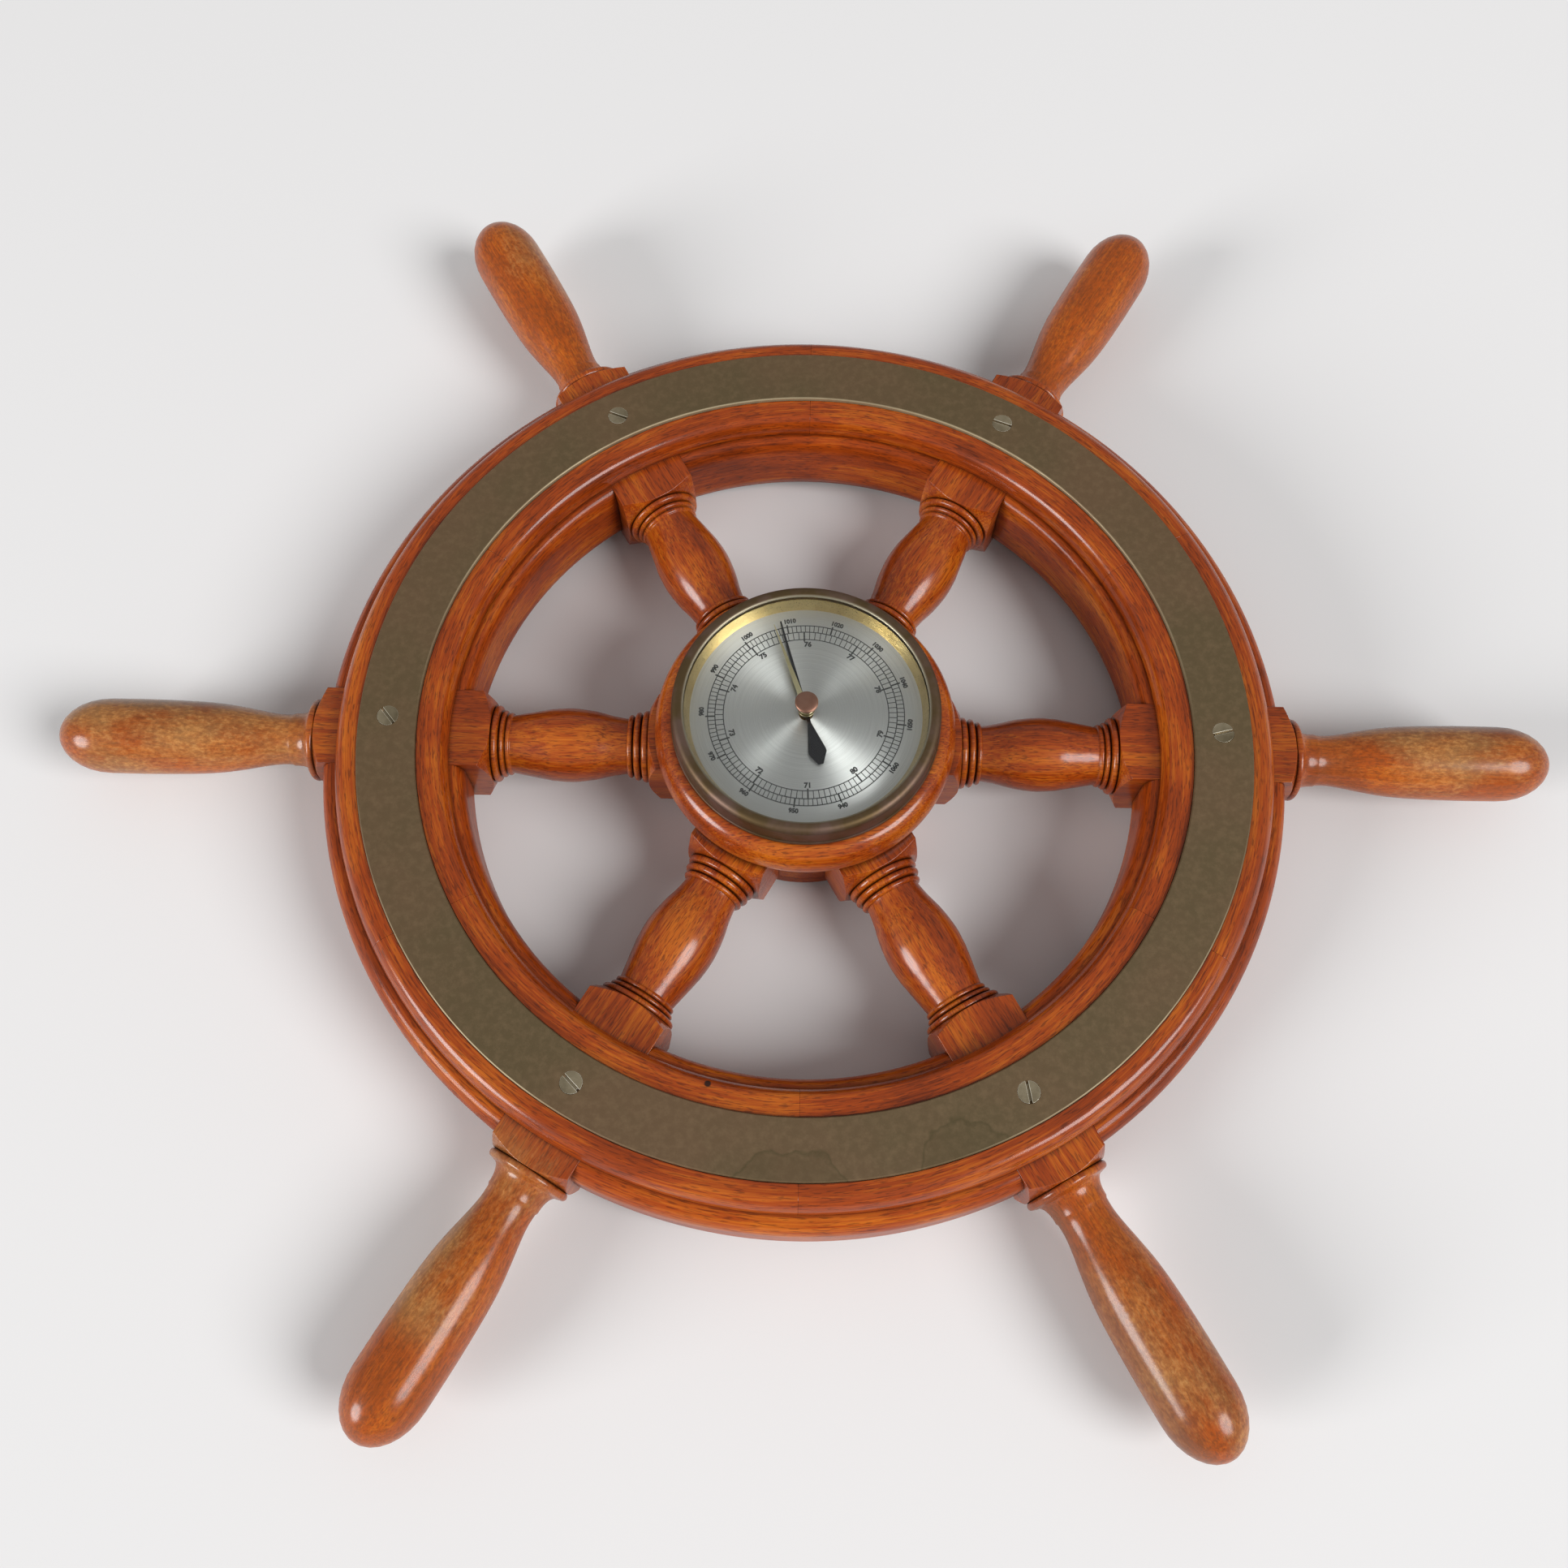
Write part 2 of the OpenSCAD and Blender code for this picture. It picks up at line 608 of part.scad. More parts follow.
// Hands, drawn along +X
boss_r = 1.8;
tail_w = 5.4;
module pointer()
    color([0.06, 0.06, 0.06])
    rotate([0, 0, pointer_angle])
    difference() {
        union() {
            disc(boss_r, z_arbor_top - z_pointer - 0.3, z_pointer - 0.3, 48);
            translate([0, 0, z_pointer]) linear_extrude(hand_t) polygon([
                [0, 0.7], [pointer_l, 0.22], [pointer_l, -0.22], [0, -0.7]
            ]);
            translate([0, 0, z_pointer]) linear_extrude(hand_t) polygon([
                [0, 0.6], [0, -0.6], [-tail_l * 0.22, -0.5], [-tail_l * 0.74, -tail_w / 2],
                [-tail_l * 0.79, -tail_w / 2], [-tail_l, -0.8], [-tail_l, 0.8],
                [-tail_l * 0.79, tail_w / 2], [-tail_l * 0.74, tail_w / 2], [-tail_l * 0.22, 0.5]
            ]);
        }
        disc(arbor_r + fit / 2, 6, z_pointer - 1, 32);
    }

module pointer_arbor()
    color("silver")
    rotate_extrude($fn = 48) polygon([
        [0, z_cock - 0.1], [pivot_r - 0.1, z_cock - 0.1], [pivot_r - 0.1, z_cock + cock_t + 0.1],
        [arbor_r, z_cock + cock_t + 0.3], [arbor_r, z_spring - 0.1], [1, z_spring - 0.1],
        [1, z_spring + spring_h + 0.1], [arbor_r, z_spring + spring_h + 0.1],
        [arbor_r, z_chain - drum_h / 2 - drum_rim_t], [drum_rim_r, z_chain - drum_h / 2 - drum_rim_t],
        [drum_rim_r, z_chain - drum_h / 2], [pulley_r, z_chain - drum_h / 2],
        [pulley_r, z_chain + drum_h / 2], [drum_rim_r, z_chain + drum_h / 2],
        [drum_rim_r, z_chain + drum_h / 2 + drum_rim_t], [arbor_r, z_chain + drum_h / 2 + drum_rim_t],
        [arbor_r, z_arbor_top], [0, z_arbor_top]
    ]);

bush_r = stem_d / 2 + 0.8;
bush_flange_r = bush_r + 0.8;
bush_flange_t = 0.5;
z_bush = z_glass - bush_flange_t;
z_bush_top = z_lip + bush_flange_t;
module set_hand()
    color("gold")
    rotate([0, 0, set_angle]) {
        disc(1.7, hand_t, z_set_hand, 48);
        disc(stem_d / 2, z_bush_top + knob_h - 0.6 - z_set_hand, z_set_hand, 48);
        translate([0, 0, z_set_hand]) linear_extrude(hand_t) polygon([
            [0, 0.9], [set_hand_l * 0.35, 0.7], [set_hand_l, 0.12],
            [set_hand_l, -0.12], [set_hand_l * 0.35, -0.7], [0, -0.9]
        ]);
    }

module setting_knob()
    color("peru")
    rotate([0, 0, set_angle]) translate([0, 0, z_bush_top + 0.2])
    difference() {
        rotate_extrude($fn = 64) polygon(concat(
            [[0, 0], [knob_d * 0.36, 0], [knob_d * 0.36, knob_h * 0.35], [knob_d / 2 - 0.2, knob_h * 0.5],
                [knob_d / 2, knob_h * 0.6]],
            quarter([knob_d / 2, knob_h * 0.8], [0, knob_h], false)
        ));
        disc(stem_d / 2 + fit / 2, knob_h - 1.1, -1, 32);
        disc(stem_d / 2 + fit / 2, knob_h - 0.7, -0.01, 32);
    }

module glass_bush()
    color("gold")
    rotate_extrude($fn = 48) polygon([
        [stem_d / 2 + fit, z_bush], [bush_flange_r, z_bush], [bush_flange_r, z_glass], [bush_r, z_glass],
        [bush_r, z_lip], [bush_flange_r, z_lip], [bush_flange_r, z_bush_top], [stem_d / 2 + fit, z_bush_top]
    ]);

// Movement
strip_x = rocker_x + 1.4;
strip_w = 4;
leg_t = 1.2;
leg_y = sqrt(pow(can_r - 3 * air, 2) - pow(strip_x + strip_w, 2));
foot_x = strip_x + strip_w / 2;
small_screw_d = 1.6;
small_head_d = 3;
small_head_h = 0.8;
foot_y = leg_y - leg_t - air - small_head_d / 2;
module at_bracket_feet() for (sy = [-1, 1]) translate([foot_x, sy * foot_y, 0]) children();

module base_plate()
    color("darkgoldenrod")
    difference() {
        disc(base_r, base_t, z_floor, 96);
        adjust_hole();
        at_base_screws() disc(base_screw_d / 2 + fit, base_t + 2, z_floor - 1, 32);
        at_bracket_feet() disc(small_screw_d / 2 + fit, base_t + 2, z_floor - 1, 32);
        translate([capsule_x, bar_reach, 0]) disc(small_screw_d / 2 + fit, base_t + 2, z_floor - 1, 32);
    }

module base_screws()
    color("silver")
    at_base_screws() mirror([0, 0, 1]) translate([0, 0, -z_case]) difference() {
        union() {
            disc(2, 1, 0, 32);
            disc(base_screw_d / 2, base_t + case_wall + 0.6, -base_t - case_wall - 0.6, 32);
        }
        bar([6, 0.6, 1], [-3, -0.3, 0.5]);
    }

bar_w = 6;
module adjusting_bar()
    color("goldenrod")
    difference() {
        union() {
            bar([bar_w, 2 * bar_reach + 4, bar_t], [capsule_x - bar_w / 2, -bar_reach - 2, z_bar]);
            bar([bar_w, 4, bar_gap], [capsule_x - bar_w / 2, bar_reach - 2, z_base]);
        }
        translate([capsule_x, bar_reach, 0]) disc(small_screw_d / 2 + fit, 6, z_base - 1, 32);
    }

adjust_head_h = 1.5;
module adjusting_screw()
    color("silver")
    translate([capsule_x, adjust_y, 0]) difference() {
        union() {
            disc(2.4, adjust_head_h, z_case - adjust_head_h - 0.1, 48);
            disc(adjust_d / 2, z_bar - z_case, z_case - 0.2, 32);
        }
        bar([6, 0.7, 0.8], [-3, -0.35, z_case - adjust_head_h - 0.2]);
    }

// Sealed capsule with ringed diaphragms
module capsule() {
    wave = 0.35;
    rings = 3;
    rim_r = 3;
    half = capsule_h / 2;
    top = [for (i = [24:-1:0])
        let (r = rim_r + (capsule_r - 1.2 - rim_r) * i / 24)
        [r, half - 0.5 - wave * cos(360 * rings * i / 24)]];
    color("silver")
    translate([capsule_x, 0, z_capsule + half]) rotate_extrude($fn = 96) polygon(concat(
        [[capsule_r, -0.5], [capsule_r, 0.5], [capsule_r - 0.6, half * 0.7]],
        top,
        [[rim_r, half + boss_h], [0, half + boss_h], [0, -half - boss_h], [rim_r, -half - boss_h]],
        [for (i = [24:-1:0]) [top[i][0], -top[i][1]]],
        [[capsule_r - 0.6, -half * 0.7]]
    ));
}

module capsule_stud()
    color("gold")
    translate([capsule_x, 0, 0]) rotate_extrude($fn = 48) polygon(concat(
        [[0, z_boss], [1.8, z_boss], [1.8, z_boss + 0.6], [stud_tip_r, z_boss + 0.9]],
        [for (i = [0:8]) let (t = 90 * i / 8)
            [stud_tip_r * cos(t), z_stud - stud_tip_r + stud_tip_r * sin(t)]]
    ));

strip_t = 1;
z_strip = z_capsule + capsule_h + 1.1;
foot_l = 4.8;
lug_y = 5.5;
lug_t = 1;
module rocker_bracket()
    color("goldenrod")
    difference() {
        union() {
            bar([strip_w, 2 * leg_y, strip_t], [strip_x, -leg_y, z_strip]);
            for (s = [-1, 1]) {
                bar([strip_w, leg_t, z_strip - z_base], [strip_x, s > 0 ? leg_y - leg_t : -leg_y, z_base]);
                bar([strip_w, foot_l, strip_t], [strip_x, s > 0 ? leg_y - foot_l : -leg_y, z_base]);
                bar([strip_x - rocker_x + 3, lug_t, z_rocker + 1.5 - z_strip],
                    [rocker_x - 1.4, s > 0 ? lug_y : -lug_y - lug_t, z_strip]);
            }
        }
        at_bracket_feet() disc(small_screw_d / 2 + fit, 4, z_base - 1, 32);
        translate([rocker_x, 0, z_rocker]) rotate([90, 0, 0])
            translate([0, 0, -lug_y - lug_t - 1]) cylinder(r = pivot_r + fit, h = 2 * (lug_y + lug_t + 1), $fn = 32);
    }

arm_y = chain_y + chain_t / 2 + 0.3;
arm_w = 1.2;
module rocker_arbor()
    color("silver")
    translate([rocker_x, 0, z_rocker]) {
        rotate([90, 0, 0]) translate([0, 0, -lug_y + air])
            cylinder(r = rocker_body_r, h = 2 * (lug_y - air), $fn = 48);
        rotate([90, 0, 0]) translate([0, 0, -lug_y - lug_t - 0.3])
            cylinder(r = pivot_r, h = 2 * (lug_y + lug_t + 0.3), $fn = 32);
        bar([arm_w, 0.8, rocker_l + 0.5], [-arm_w / 2, -arm_y - 0.8, 0]);
        translate([0, -arm_y + chain_t + 0.4, rocker_l]) rotate([90, 0, 0]) cylinder(r = 0.3, h = chain_t + 0.6, $fn = 32);
        bar([crank_l + 0.7, 1.4, finger_t], [-crank_l - 0.7, -0.7, -finger_t / 2]);
    }

// Fine plate chain: single plates and pairs in turn, on pins, with an eye on the rocker
link_l = 1.3;
chain_links = floor((rocker_x + 2.3) / link_l);
eye_r = 0.55;
module link_plate(x0, t, y) translate([x0, y, 0]) rotate([90, 0, 0]) translate([0, 0, -t / 2]) {
    cylinder(d = chain_h, h = t, $fn = 24);
    translate([link_l, 0, 0]) cylinder(d = chain_h, h = t, $fn = 24);
    translate([0, -chain_h / 2 + 0.08, 0]) cube([link_l, chain_h - 0.16, t]);
}
module chain()
    color("dimgray")
    translate([rocker_x - eye_r - chain_h / 2, -chain_y, z_chain]) difference() {
        union() {
            for (i = [0:chain_links - 1]) {
                x0 = -link_l * (i + 1);
                if (i % 2 == 0) link_plate(x0, chain_t / 3 + 0.02, 0);
                else for (s = [-1, 1]) link_plate(x0, chain_t / 3, s * chain_t / 3);
                translate([x0, chain_t / 2, 0]) rotate([90, 0, 0]) cylinder(d = 0.34, h = chain_t, $fn = 24);
            }
            translate([0, chain_t / 2, 0]) rotate([90, 0, 0]) cylinder(d = chain_h, h = chain_t, $fn = 24);
            translate([eye_r + chain_h / 2, chain_t / 2, 0]) rotate([90, 0, 0])
                cylinder(r = eye_r + 0.35, h = chain_t, $fn = 32);
        }
        translate([eye_r + chain_h / 2, chain_t, 0]) rotate([90, 0, 0]) cylinder(r = eye_r, h = 2 * chain_t, $fn = 32);
    }

cock_leg_y = hairspring_r + 1.9;
cock_w = 5;
cock_leg_t = 2.4;
module arbor_cock()
    color("goldenrod")
    difference() {
        union() {
            bar([cock_w, cock_leg_y + cock_leg_t + 2, cock_t], [-cock_w / 2, -2, z_cock]);
            bar([cock_w, cock_leg_t, z_bridge_under - z_cock], [-cock_w / 2, cock_leg_y, z_cock]);
        }
        disc(pivot_r - 0.1 + fit, cock_t + 2, z_cock - 1, 32);
        translate([0, cock_leg_y + cock_leg_t / 2, 0]) disc(small_screw_d / 2 + fit, 4, z_bridge_under - 3, 32);
    }

// Flat spiral, its outer end pinned to a stud under the bridge
spring_turns = 4.5;
spring_steps = 24;
spring_t = 0.15;
spring_in_r = 1 + air;
function spiral(side) = [
    for (i = [0:spring_turns * spring_steps])
        let (r = spring_in_r + (hairspring_r - spring_in_r) * i / (spring_turns * spring_steps) + side * spring_t,
            a = 360 * i / spring_steps)
        [r * cos(a), r * sin(a)]
];
module hairspring()
    color("steelblue") {
        outer = spiral(1);
        inner = spiral(0);
        n = len(outer);
        translate([0, 0, z_spring]) linear_extrude(spring_h)
            polygon(concat(outer, [for (i = [n - 1:-1:0]) inner[i]]));
        translate([-hairspring_r - 0.5, 0, z_spring - 0.1])
            cylinder(r = 0.6, h = z_bridge_under - z_spring + 0.1, $fn = 24);
    }

module bridge_plate()
    color("goldenrod")
    difference() {
        union() {
            disc(cock_leg_y + cock_leg_t + 1.2, bridge_t, z_bridge_under, 64);
            for (s = [-1, 1]) rotate([0, 0, s * pillar_turn])
                bar([2 * pillar_place, 4.6, bridge_t], [-pillar_place, -2.3, z_bridge_under]);
            at_pillars() disc(2.3, bridge_t, z_bridge_under, 32);
        }
        disc(arbor_r + fit, bridge_t + 2, z_bridge_under - 1, 32);
        at_pillars() disc(small_screw_d / 2 + fit, bridge_t + 2, z_bridge_under - 1, 32);
        translate([0, cock_leg_y + cock_leg_t / 2, 0])
            disc(small_screw_d / 2 + fit, bridge_t + 2, z_bridge_under - 1, 32);
    }

module at_pillars()
    for (a = [pillar_turn, -pillar_turn, 180 - pillar_turn, 180 + pillar_turn])
        rotate([0, 0, a]) translate([pillar_place, 0, 0]) children();

pillar_screw_l = 4;
module pillars()
    color("goldenrod")
    at_pillars() difference() {
        disc(pillar_d / 2, z_bridge_under - z_base, z_base, 32);
        disc(small_screw_d / 2 + fit, pillar_screw_l + 1, z_bridge_under - pillar_screw_l, 32);
    }

// A cheese head screw, head resting on the origin
module small_screw(l) {
    difference() {
        disc(small_head_d / 2, small_head_h, 0, 32);
        bar([small_head_d + 1, 0.4, 1], [-small_head_d / 2 - 0.5, -0.2, small_head_h - 0.4]);
    }
    disc(small_screw_d / 2, l, -l, 32);
}

module movement_screws()
    color("silver") {
        at_pillars() translate([0, 0, z_bridge]) small_screw(bridge_t + pillar_screw_l - 0.3);
        translate([0, cock_leg_y + cock_leg_t / 2, z_bridge]) small_screw(bridge_t + 2.5);
        at_bracket_feet() translate([0, 0, z_base + strip_t]) small_screw(strip_t + base_t - 0.1);
        translate([capsule_x, bar_reach, z_bar + bar_t]) small_screw(bar_t + bar_gap + base_t - 0.1);
    }

front_felloe(1);  // front_felloe_1
front_felloe(2);  // front_felloe_2
front_felloe(3);  // front_felloe_3
front_felloe(4);  // front_felloe_4
front_felloe(5);  // front_felloe_5
front_felloe(6);  // front_felloe_6
middle_felloe(1);  // middle_felloe_1
middle_felloe(2);  // middle_felloe_2
middle_felloe(3);  // middle_felloe_3
middle_felloe(4);  // middle_felloe_4
middle_felloe(5);  // middle_felloe_5
middle_felloe(6);  // middle_felloe_6
back_felloe(1);  // back_felloe_1
back_felloe(2);  // back_felloe_2
back_felloe(3);  // back_felloe_3
back_felloe(4);  // back_felloe_4
back_felloe(5);  // back_felloe_5
back_felloe(6);  // back_felloe_6
spoke(1);  // spoke_1
spoke(2);  // spoke_2
spoke(3);  // spoke_3
spoke(4);  // spoke_4
spoke(5);  // spoke_5
spoke(6);  // spoke_6
brass_ring();
ring_screws();
hub_cap();
hub_core();
hub_back();
hub_screws();
hanger_plate();
hanger_screws();
case();
bezel();
glass();
sloped_ring();
dial();
pointer();
pointer_arbor();
set_hand();
setting_knob();
glass_bush();
base_plate();
base_screws();
adjusting_bar();
adjusting_screw();
capsule();
capsule_stud();
rocker_bracket();
rocker_arbor();
chain();
arbor_cock();
hairspring();
bridge_plate();
pillars();
movement_screws();
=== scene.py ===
import json
import math
import bpy
import bmesh
from mathutils import Matrix, Vector

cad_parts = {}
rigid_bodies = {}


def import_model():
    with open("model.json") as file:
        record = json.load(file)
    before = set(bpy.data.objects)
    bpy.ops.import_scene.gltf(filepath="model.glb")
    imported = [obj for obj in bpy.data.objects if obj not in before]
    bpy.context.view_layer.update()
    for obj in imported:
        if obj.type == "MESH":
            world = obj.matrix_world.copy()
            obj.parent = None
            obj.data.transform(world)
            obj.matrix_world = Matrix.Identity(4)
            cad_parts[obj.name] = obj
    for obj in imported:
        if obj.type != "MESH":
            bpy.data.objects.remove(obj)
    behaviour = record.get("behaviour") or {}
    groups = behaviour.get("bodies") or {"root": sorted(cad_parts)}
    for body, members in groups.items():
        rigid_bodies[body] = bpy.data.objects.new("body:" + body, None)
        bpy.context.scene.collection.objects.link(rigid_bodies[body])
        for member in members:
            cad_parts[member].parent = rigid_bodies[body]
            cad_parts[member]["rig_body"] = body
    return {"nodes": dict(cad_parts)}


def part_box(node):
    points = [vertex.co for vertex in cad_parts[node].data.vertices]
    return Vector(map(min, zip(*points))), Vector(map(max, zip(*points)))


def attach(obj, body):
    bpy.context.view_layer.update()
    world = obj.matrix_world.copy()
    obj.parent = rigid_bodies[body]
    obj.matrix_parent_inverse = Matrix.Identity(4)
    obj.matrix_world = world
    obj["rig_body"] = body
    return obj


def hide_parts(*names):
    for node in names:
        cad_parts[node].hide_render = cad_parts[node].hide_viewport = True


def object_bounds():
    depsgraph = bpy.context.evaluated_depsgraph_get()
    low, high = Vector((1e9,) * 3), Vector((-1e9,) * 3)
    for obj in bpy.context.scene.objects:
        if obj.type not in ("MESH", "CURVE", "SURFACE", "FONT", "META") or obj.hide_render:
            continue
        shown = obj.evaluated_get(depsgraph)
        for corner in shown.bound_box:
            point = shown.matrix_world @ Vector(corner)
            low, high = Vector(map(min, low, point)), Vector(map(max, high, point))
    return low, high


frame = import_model()
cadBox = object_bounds()
nodes = frame["nodes"]
print("frame loaded,", len(nodes), "nodes")

mm = 0.001
noiseRange = (0.3, 0.7)    # where most of a noise texture's values lie


# Helpers

def linear(hexText):
    # sRGB hex to the linear colour that a shader takes
    out = []
    for i in (0, 2, 4):
        c = int(hexText[i:i + 2], 16) / 255
        out.append(c / 12.92 if c <= 0.04045 else ((c + 0.055) / 1.055) ** 2.4)
    return (*out, 1.0)


def addNode(tree, kind, inputs=None, stops=(), **settings):
    # one node with its settings; an input is a value, a hex colour or another node's socket, and
    # stops are a colour ramp's (place, grey or hex colour) pairs
    node = tree.nodes.new(kind)
    for name, value in settings.items():
        setattr(node, name, value)
    for key, value in (inputs or {}).items():
        if isinstance(value, bpy.types.NodeSocket):
            tree.links.new(value, node.inputs[key])
        else:
            node.inputs[key].default_value = linear(value) if isinstance(value, str) else value
    if stops:
        elements = node.color_ramp.elements
        while len(elements) < len(stops):
            elements.new(0.5)
        for element, (place, tone) in zip(elements, stops):
            element.position = place
            element.color = linear(tone) if isinstance(tone, str) else (tone, tone, tone, 1.0)
    return node


def newMaterial(name):
    material = bpy.data.materials.new(name)
    material.use_nodes = True
    material.node_tree.nodes.clear()
    return material, material.node_tree


def product(tree, *factors):
    # the factors are sockets or numbers
    total = factors[0]
    for factor in factors[1:]:
        total = addNode(tree, "ShaderNodeMath", {0: total, 1: factor},
                        operation="MULTIPLY").outputs[0]
    return total


def axisGap(tree, place, x=0.0, y=0.0):
    # distance from the upright line through x, y, which is the wheel's axis at 0, 0
    flat = addNode(tree, "ShaderNodeVectorMath", {0: place, 1: (1, 1, 0)},
                   operation="MULTIPLY").outputs[0]
    return addNode(tree, "ShaderNodeVectorMath", {0: flat, 1: (x, y, 0)},
                   operation="DISTANCE").outputs["Value"]


def paint(nodeNames, material):
    for name in nodeNames:
        mesh = nodes[name].data
        mesh.materials.clear()
        mesh.materials.append(material)


def addObject(name, data):
    made = bpy.data.objects.new(name, data)
    bpy.context.scene.collection.objects.link(made)
    return made


def meshFrom(name, bm):
    mesh = bpy.data.meshes.new(name)
    bm.to_mesh(mesh)
    bm.free()
    return mesh


copyLook = {"merge": 0.001 * mm, "flat": math.radians(0.4), "sharp": math.radians(32), "rings": 2}
# how far the outer edges of each piece are rubbed round
rubbedEdge = {"spoke": 0.4 * mm, "felloe": 0.12 * mm, "hub": 0.15 * mm, "brass_ring": 0.12 * mm,
              "ring_screws": 0.28 * mm, "bezel": 0.08 * mm, "setting_knob": 0.1 * mm}


def wornCopy(name, material, edge, wearAndGlint=None):
    # the CAD node merged, its outer edges rounded by edge and shaded smooth between them; the last
    # argument is another material for the rounded edges, which on the screws is a painted glint
    look = copyLook
    bm = bmesh.new()
    bm.from_mesh(nodes[name].data)
    bmesh.ops.remove_doubles(bm, verts=bm.verts, dist=look["merge"])
    bmesh.ops.dissolve_limit(bm, angle_limit=look["flat"], verts=bm.verts, edges=bm.edges)
    corners = [e for e in bm.edges if len(e.link_faces) == 2
               and e.calc_face_angle_signed(0) > look["sharp"]]
    rounded = bmesh.ops.bevel(
        bm, geom=corners, offset=edge, offset_type="OFFSET", segments=look["rings"], profile=0.5,
        affect="EDGES", material=-1, clamp_overlap=True)
    if wearAndGlint:
        for face in rounded["faces"]:
            face.material_index = 1
    mesh = meshFrom("worn_" + name, bm)
    mesh.polygons.foreach_set("use_smooth", [True] * len(mesh.polygons))
    mesh.set_sharp_from_angle(angle=look["sharp"])
    mesh.materials.append(material)
    if wearAndGlint:
        mesh.materials.append(wearAndGlint)
    piece = addObject("worn_" + name, mesh)
    # flat faces keep their own normals and the rounded edges take up the turn
    piece.modifiers.new("normals", "WEIGHTED_NORMAL").keep_sharp = True
    view = bpy.context.evaluated_depsgraph_get()
    piece.data = bpy.data.meshes.new_from_object(
        piece.evaluated_get(view), preserve_all_data_layers=True, depsgraph=view)
    piece.modifiers.clear()
    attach(piece, nodes[name]["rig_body"])
    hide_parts(name)


# Mahogany, turned or shaped, oiled and finished with several coats of clear varnish: it gives an
# orange red ground with short dark pores along the grain, under a hard gloss

woodLook = {
    "tones": [(0.20, "5c1f02"), (0.50, "953b06"), (0.82, "c46a16")],
    "rimRadius": 127 * mm,    # where a bent board's grain keeps its length
    # a board's place in the log: metres along it, gaps from its pith and lean in degrees, by seed
    "logStep": 0.37, "pithGap": (35 * mm, -60 * mm), "pithStep": (11 * mm, -9 * mm), "lean": 1.5,
    "ringSpacing": 2.6 * mm, "ringBend": 5.0, "ringBendDetail": 3.0, "ringBendScale": 0.35,
    # noise along the grain: (width, length, detail); the real pores are 0.1 mm wide and are drawn
    # coarser to show, and the figure is a faint ribbon across the grain
    "layers": {"fibre": (0.6 * mm, 18 * mm, 3.0), "pores": (0.4 * mm, 3.5 * mm, 1.0),
               "blotch": (11 * mm, 42 * mm, 3.0), "figure": (30 * mm, 11 * mm, 1.0)},
    "layerRoughness": 0.55,
    # how much each layer counts in the tone
    "weights": {"rings": 0.05, "fibre": 0.60, "blotch": 0.80, "figure": 0.12},
    "pore": "351204", "poreMask": [(0.35, 1.0), (0.45, 0.0)], "poreStrength": 0.5,
    # painted shade in the hollows, which also stands for old wax and dust: its colour, which the
    # lost pin's hole also takes, its mask, reach and samples
    "dirtAndShade": "200a02", "shadeReach": 3.6 * mm, "shadeMask": [(0.30, 0.85), (0.75, 0.0)],
    "shadeSamples": 8,
    "roughness": (0.42, 0.60), "ior": 1.5, "specular": 0.1,
    "coat": 0.75, "coatRoughness": 0.17, "gripCoatRoughness": 0.19,
    "bump": 0.2, "bumpHeight": 0.2 * mm,
}
# a pin is lost from the front layer: its hole is painted as a dark spot of shade, whose edge is
# soft from the first radius to the second
pinHole = {"felloe": 5, "place": (-25.7 * mm, -109.4 * mm), "edge": (0.75 * mm, 1.1 * mm),
           "strength": 0.95}


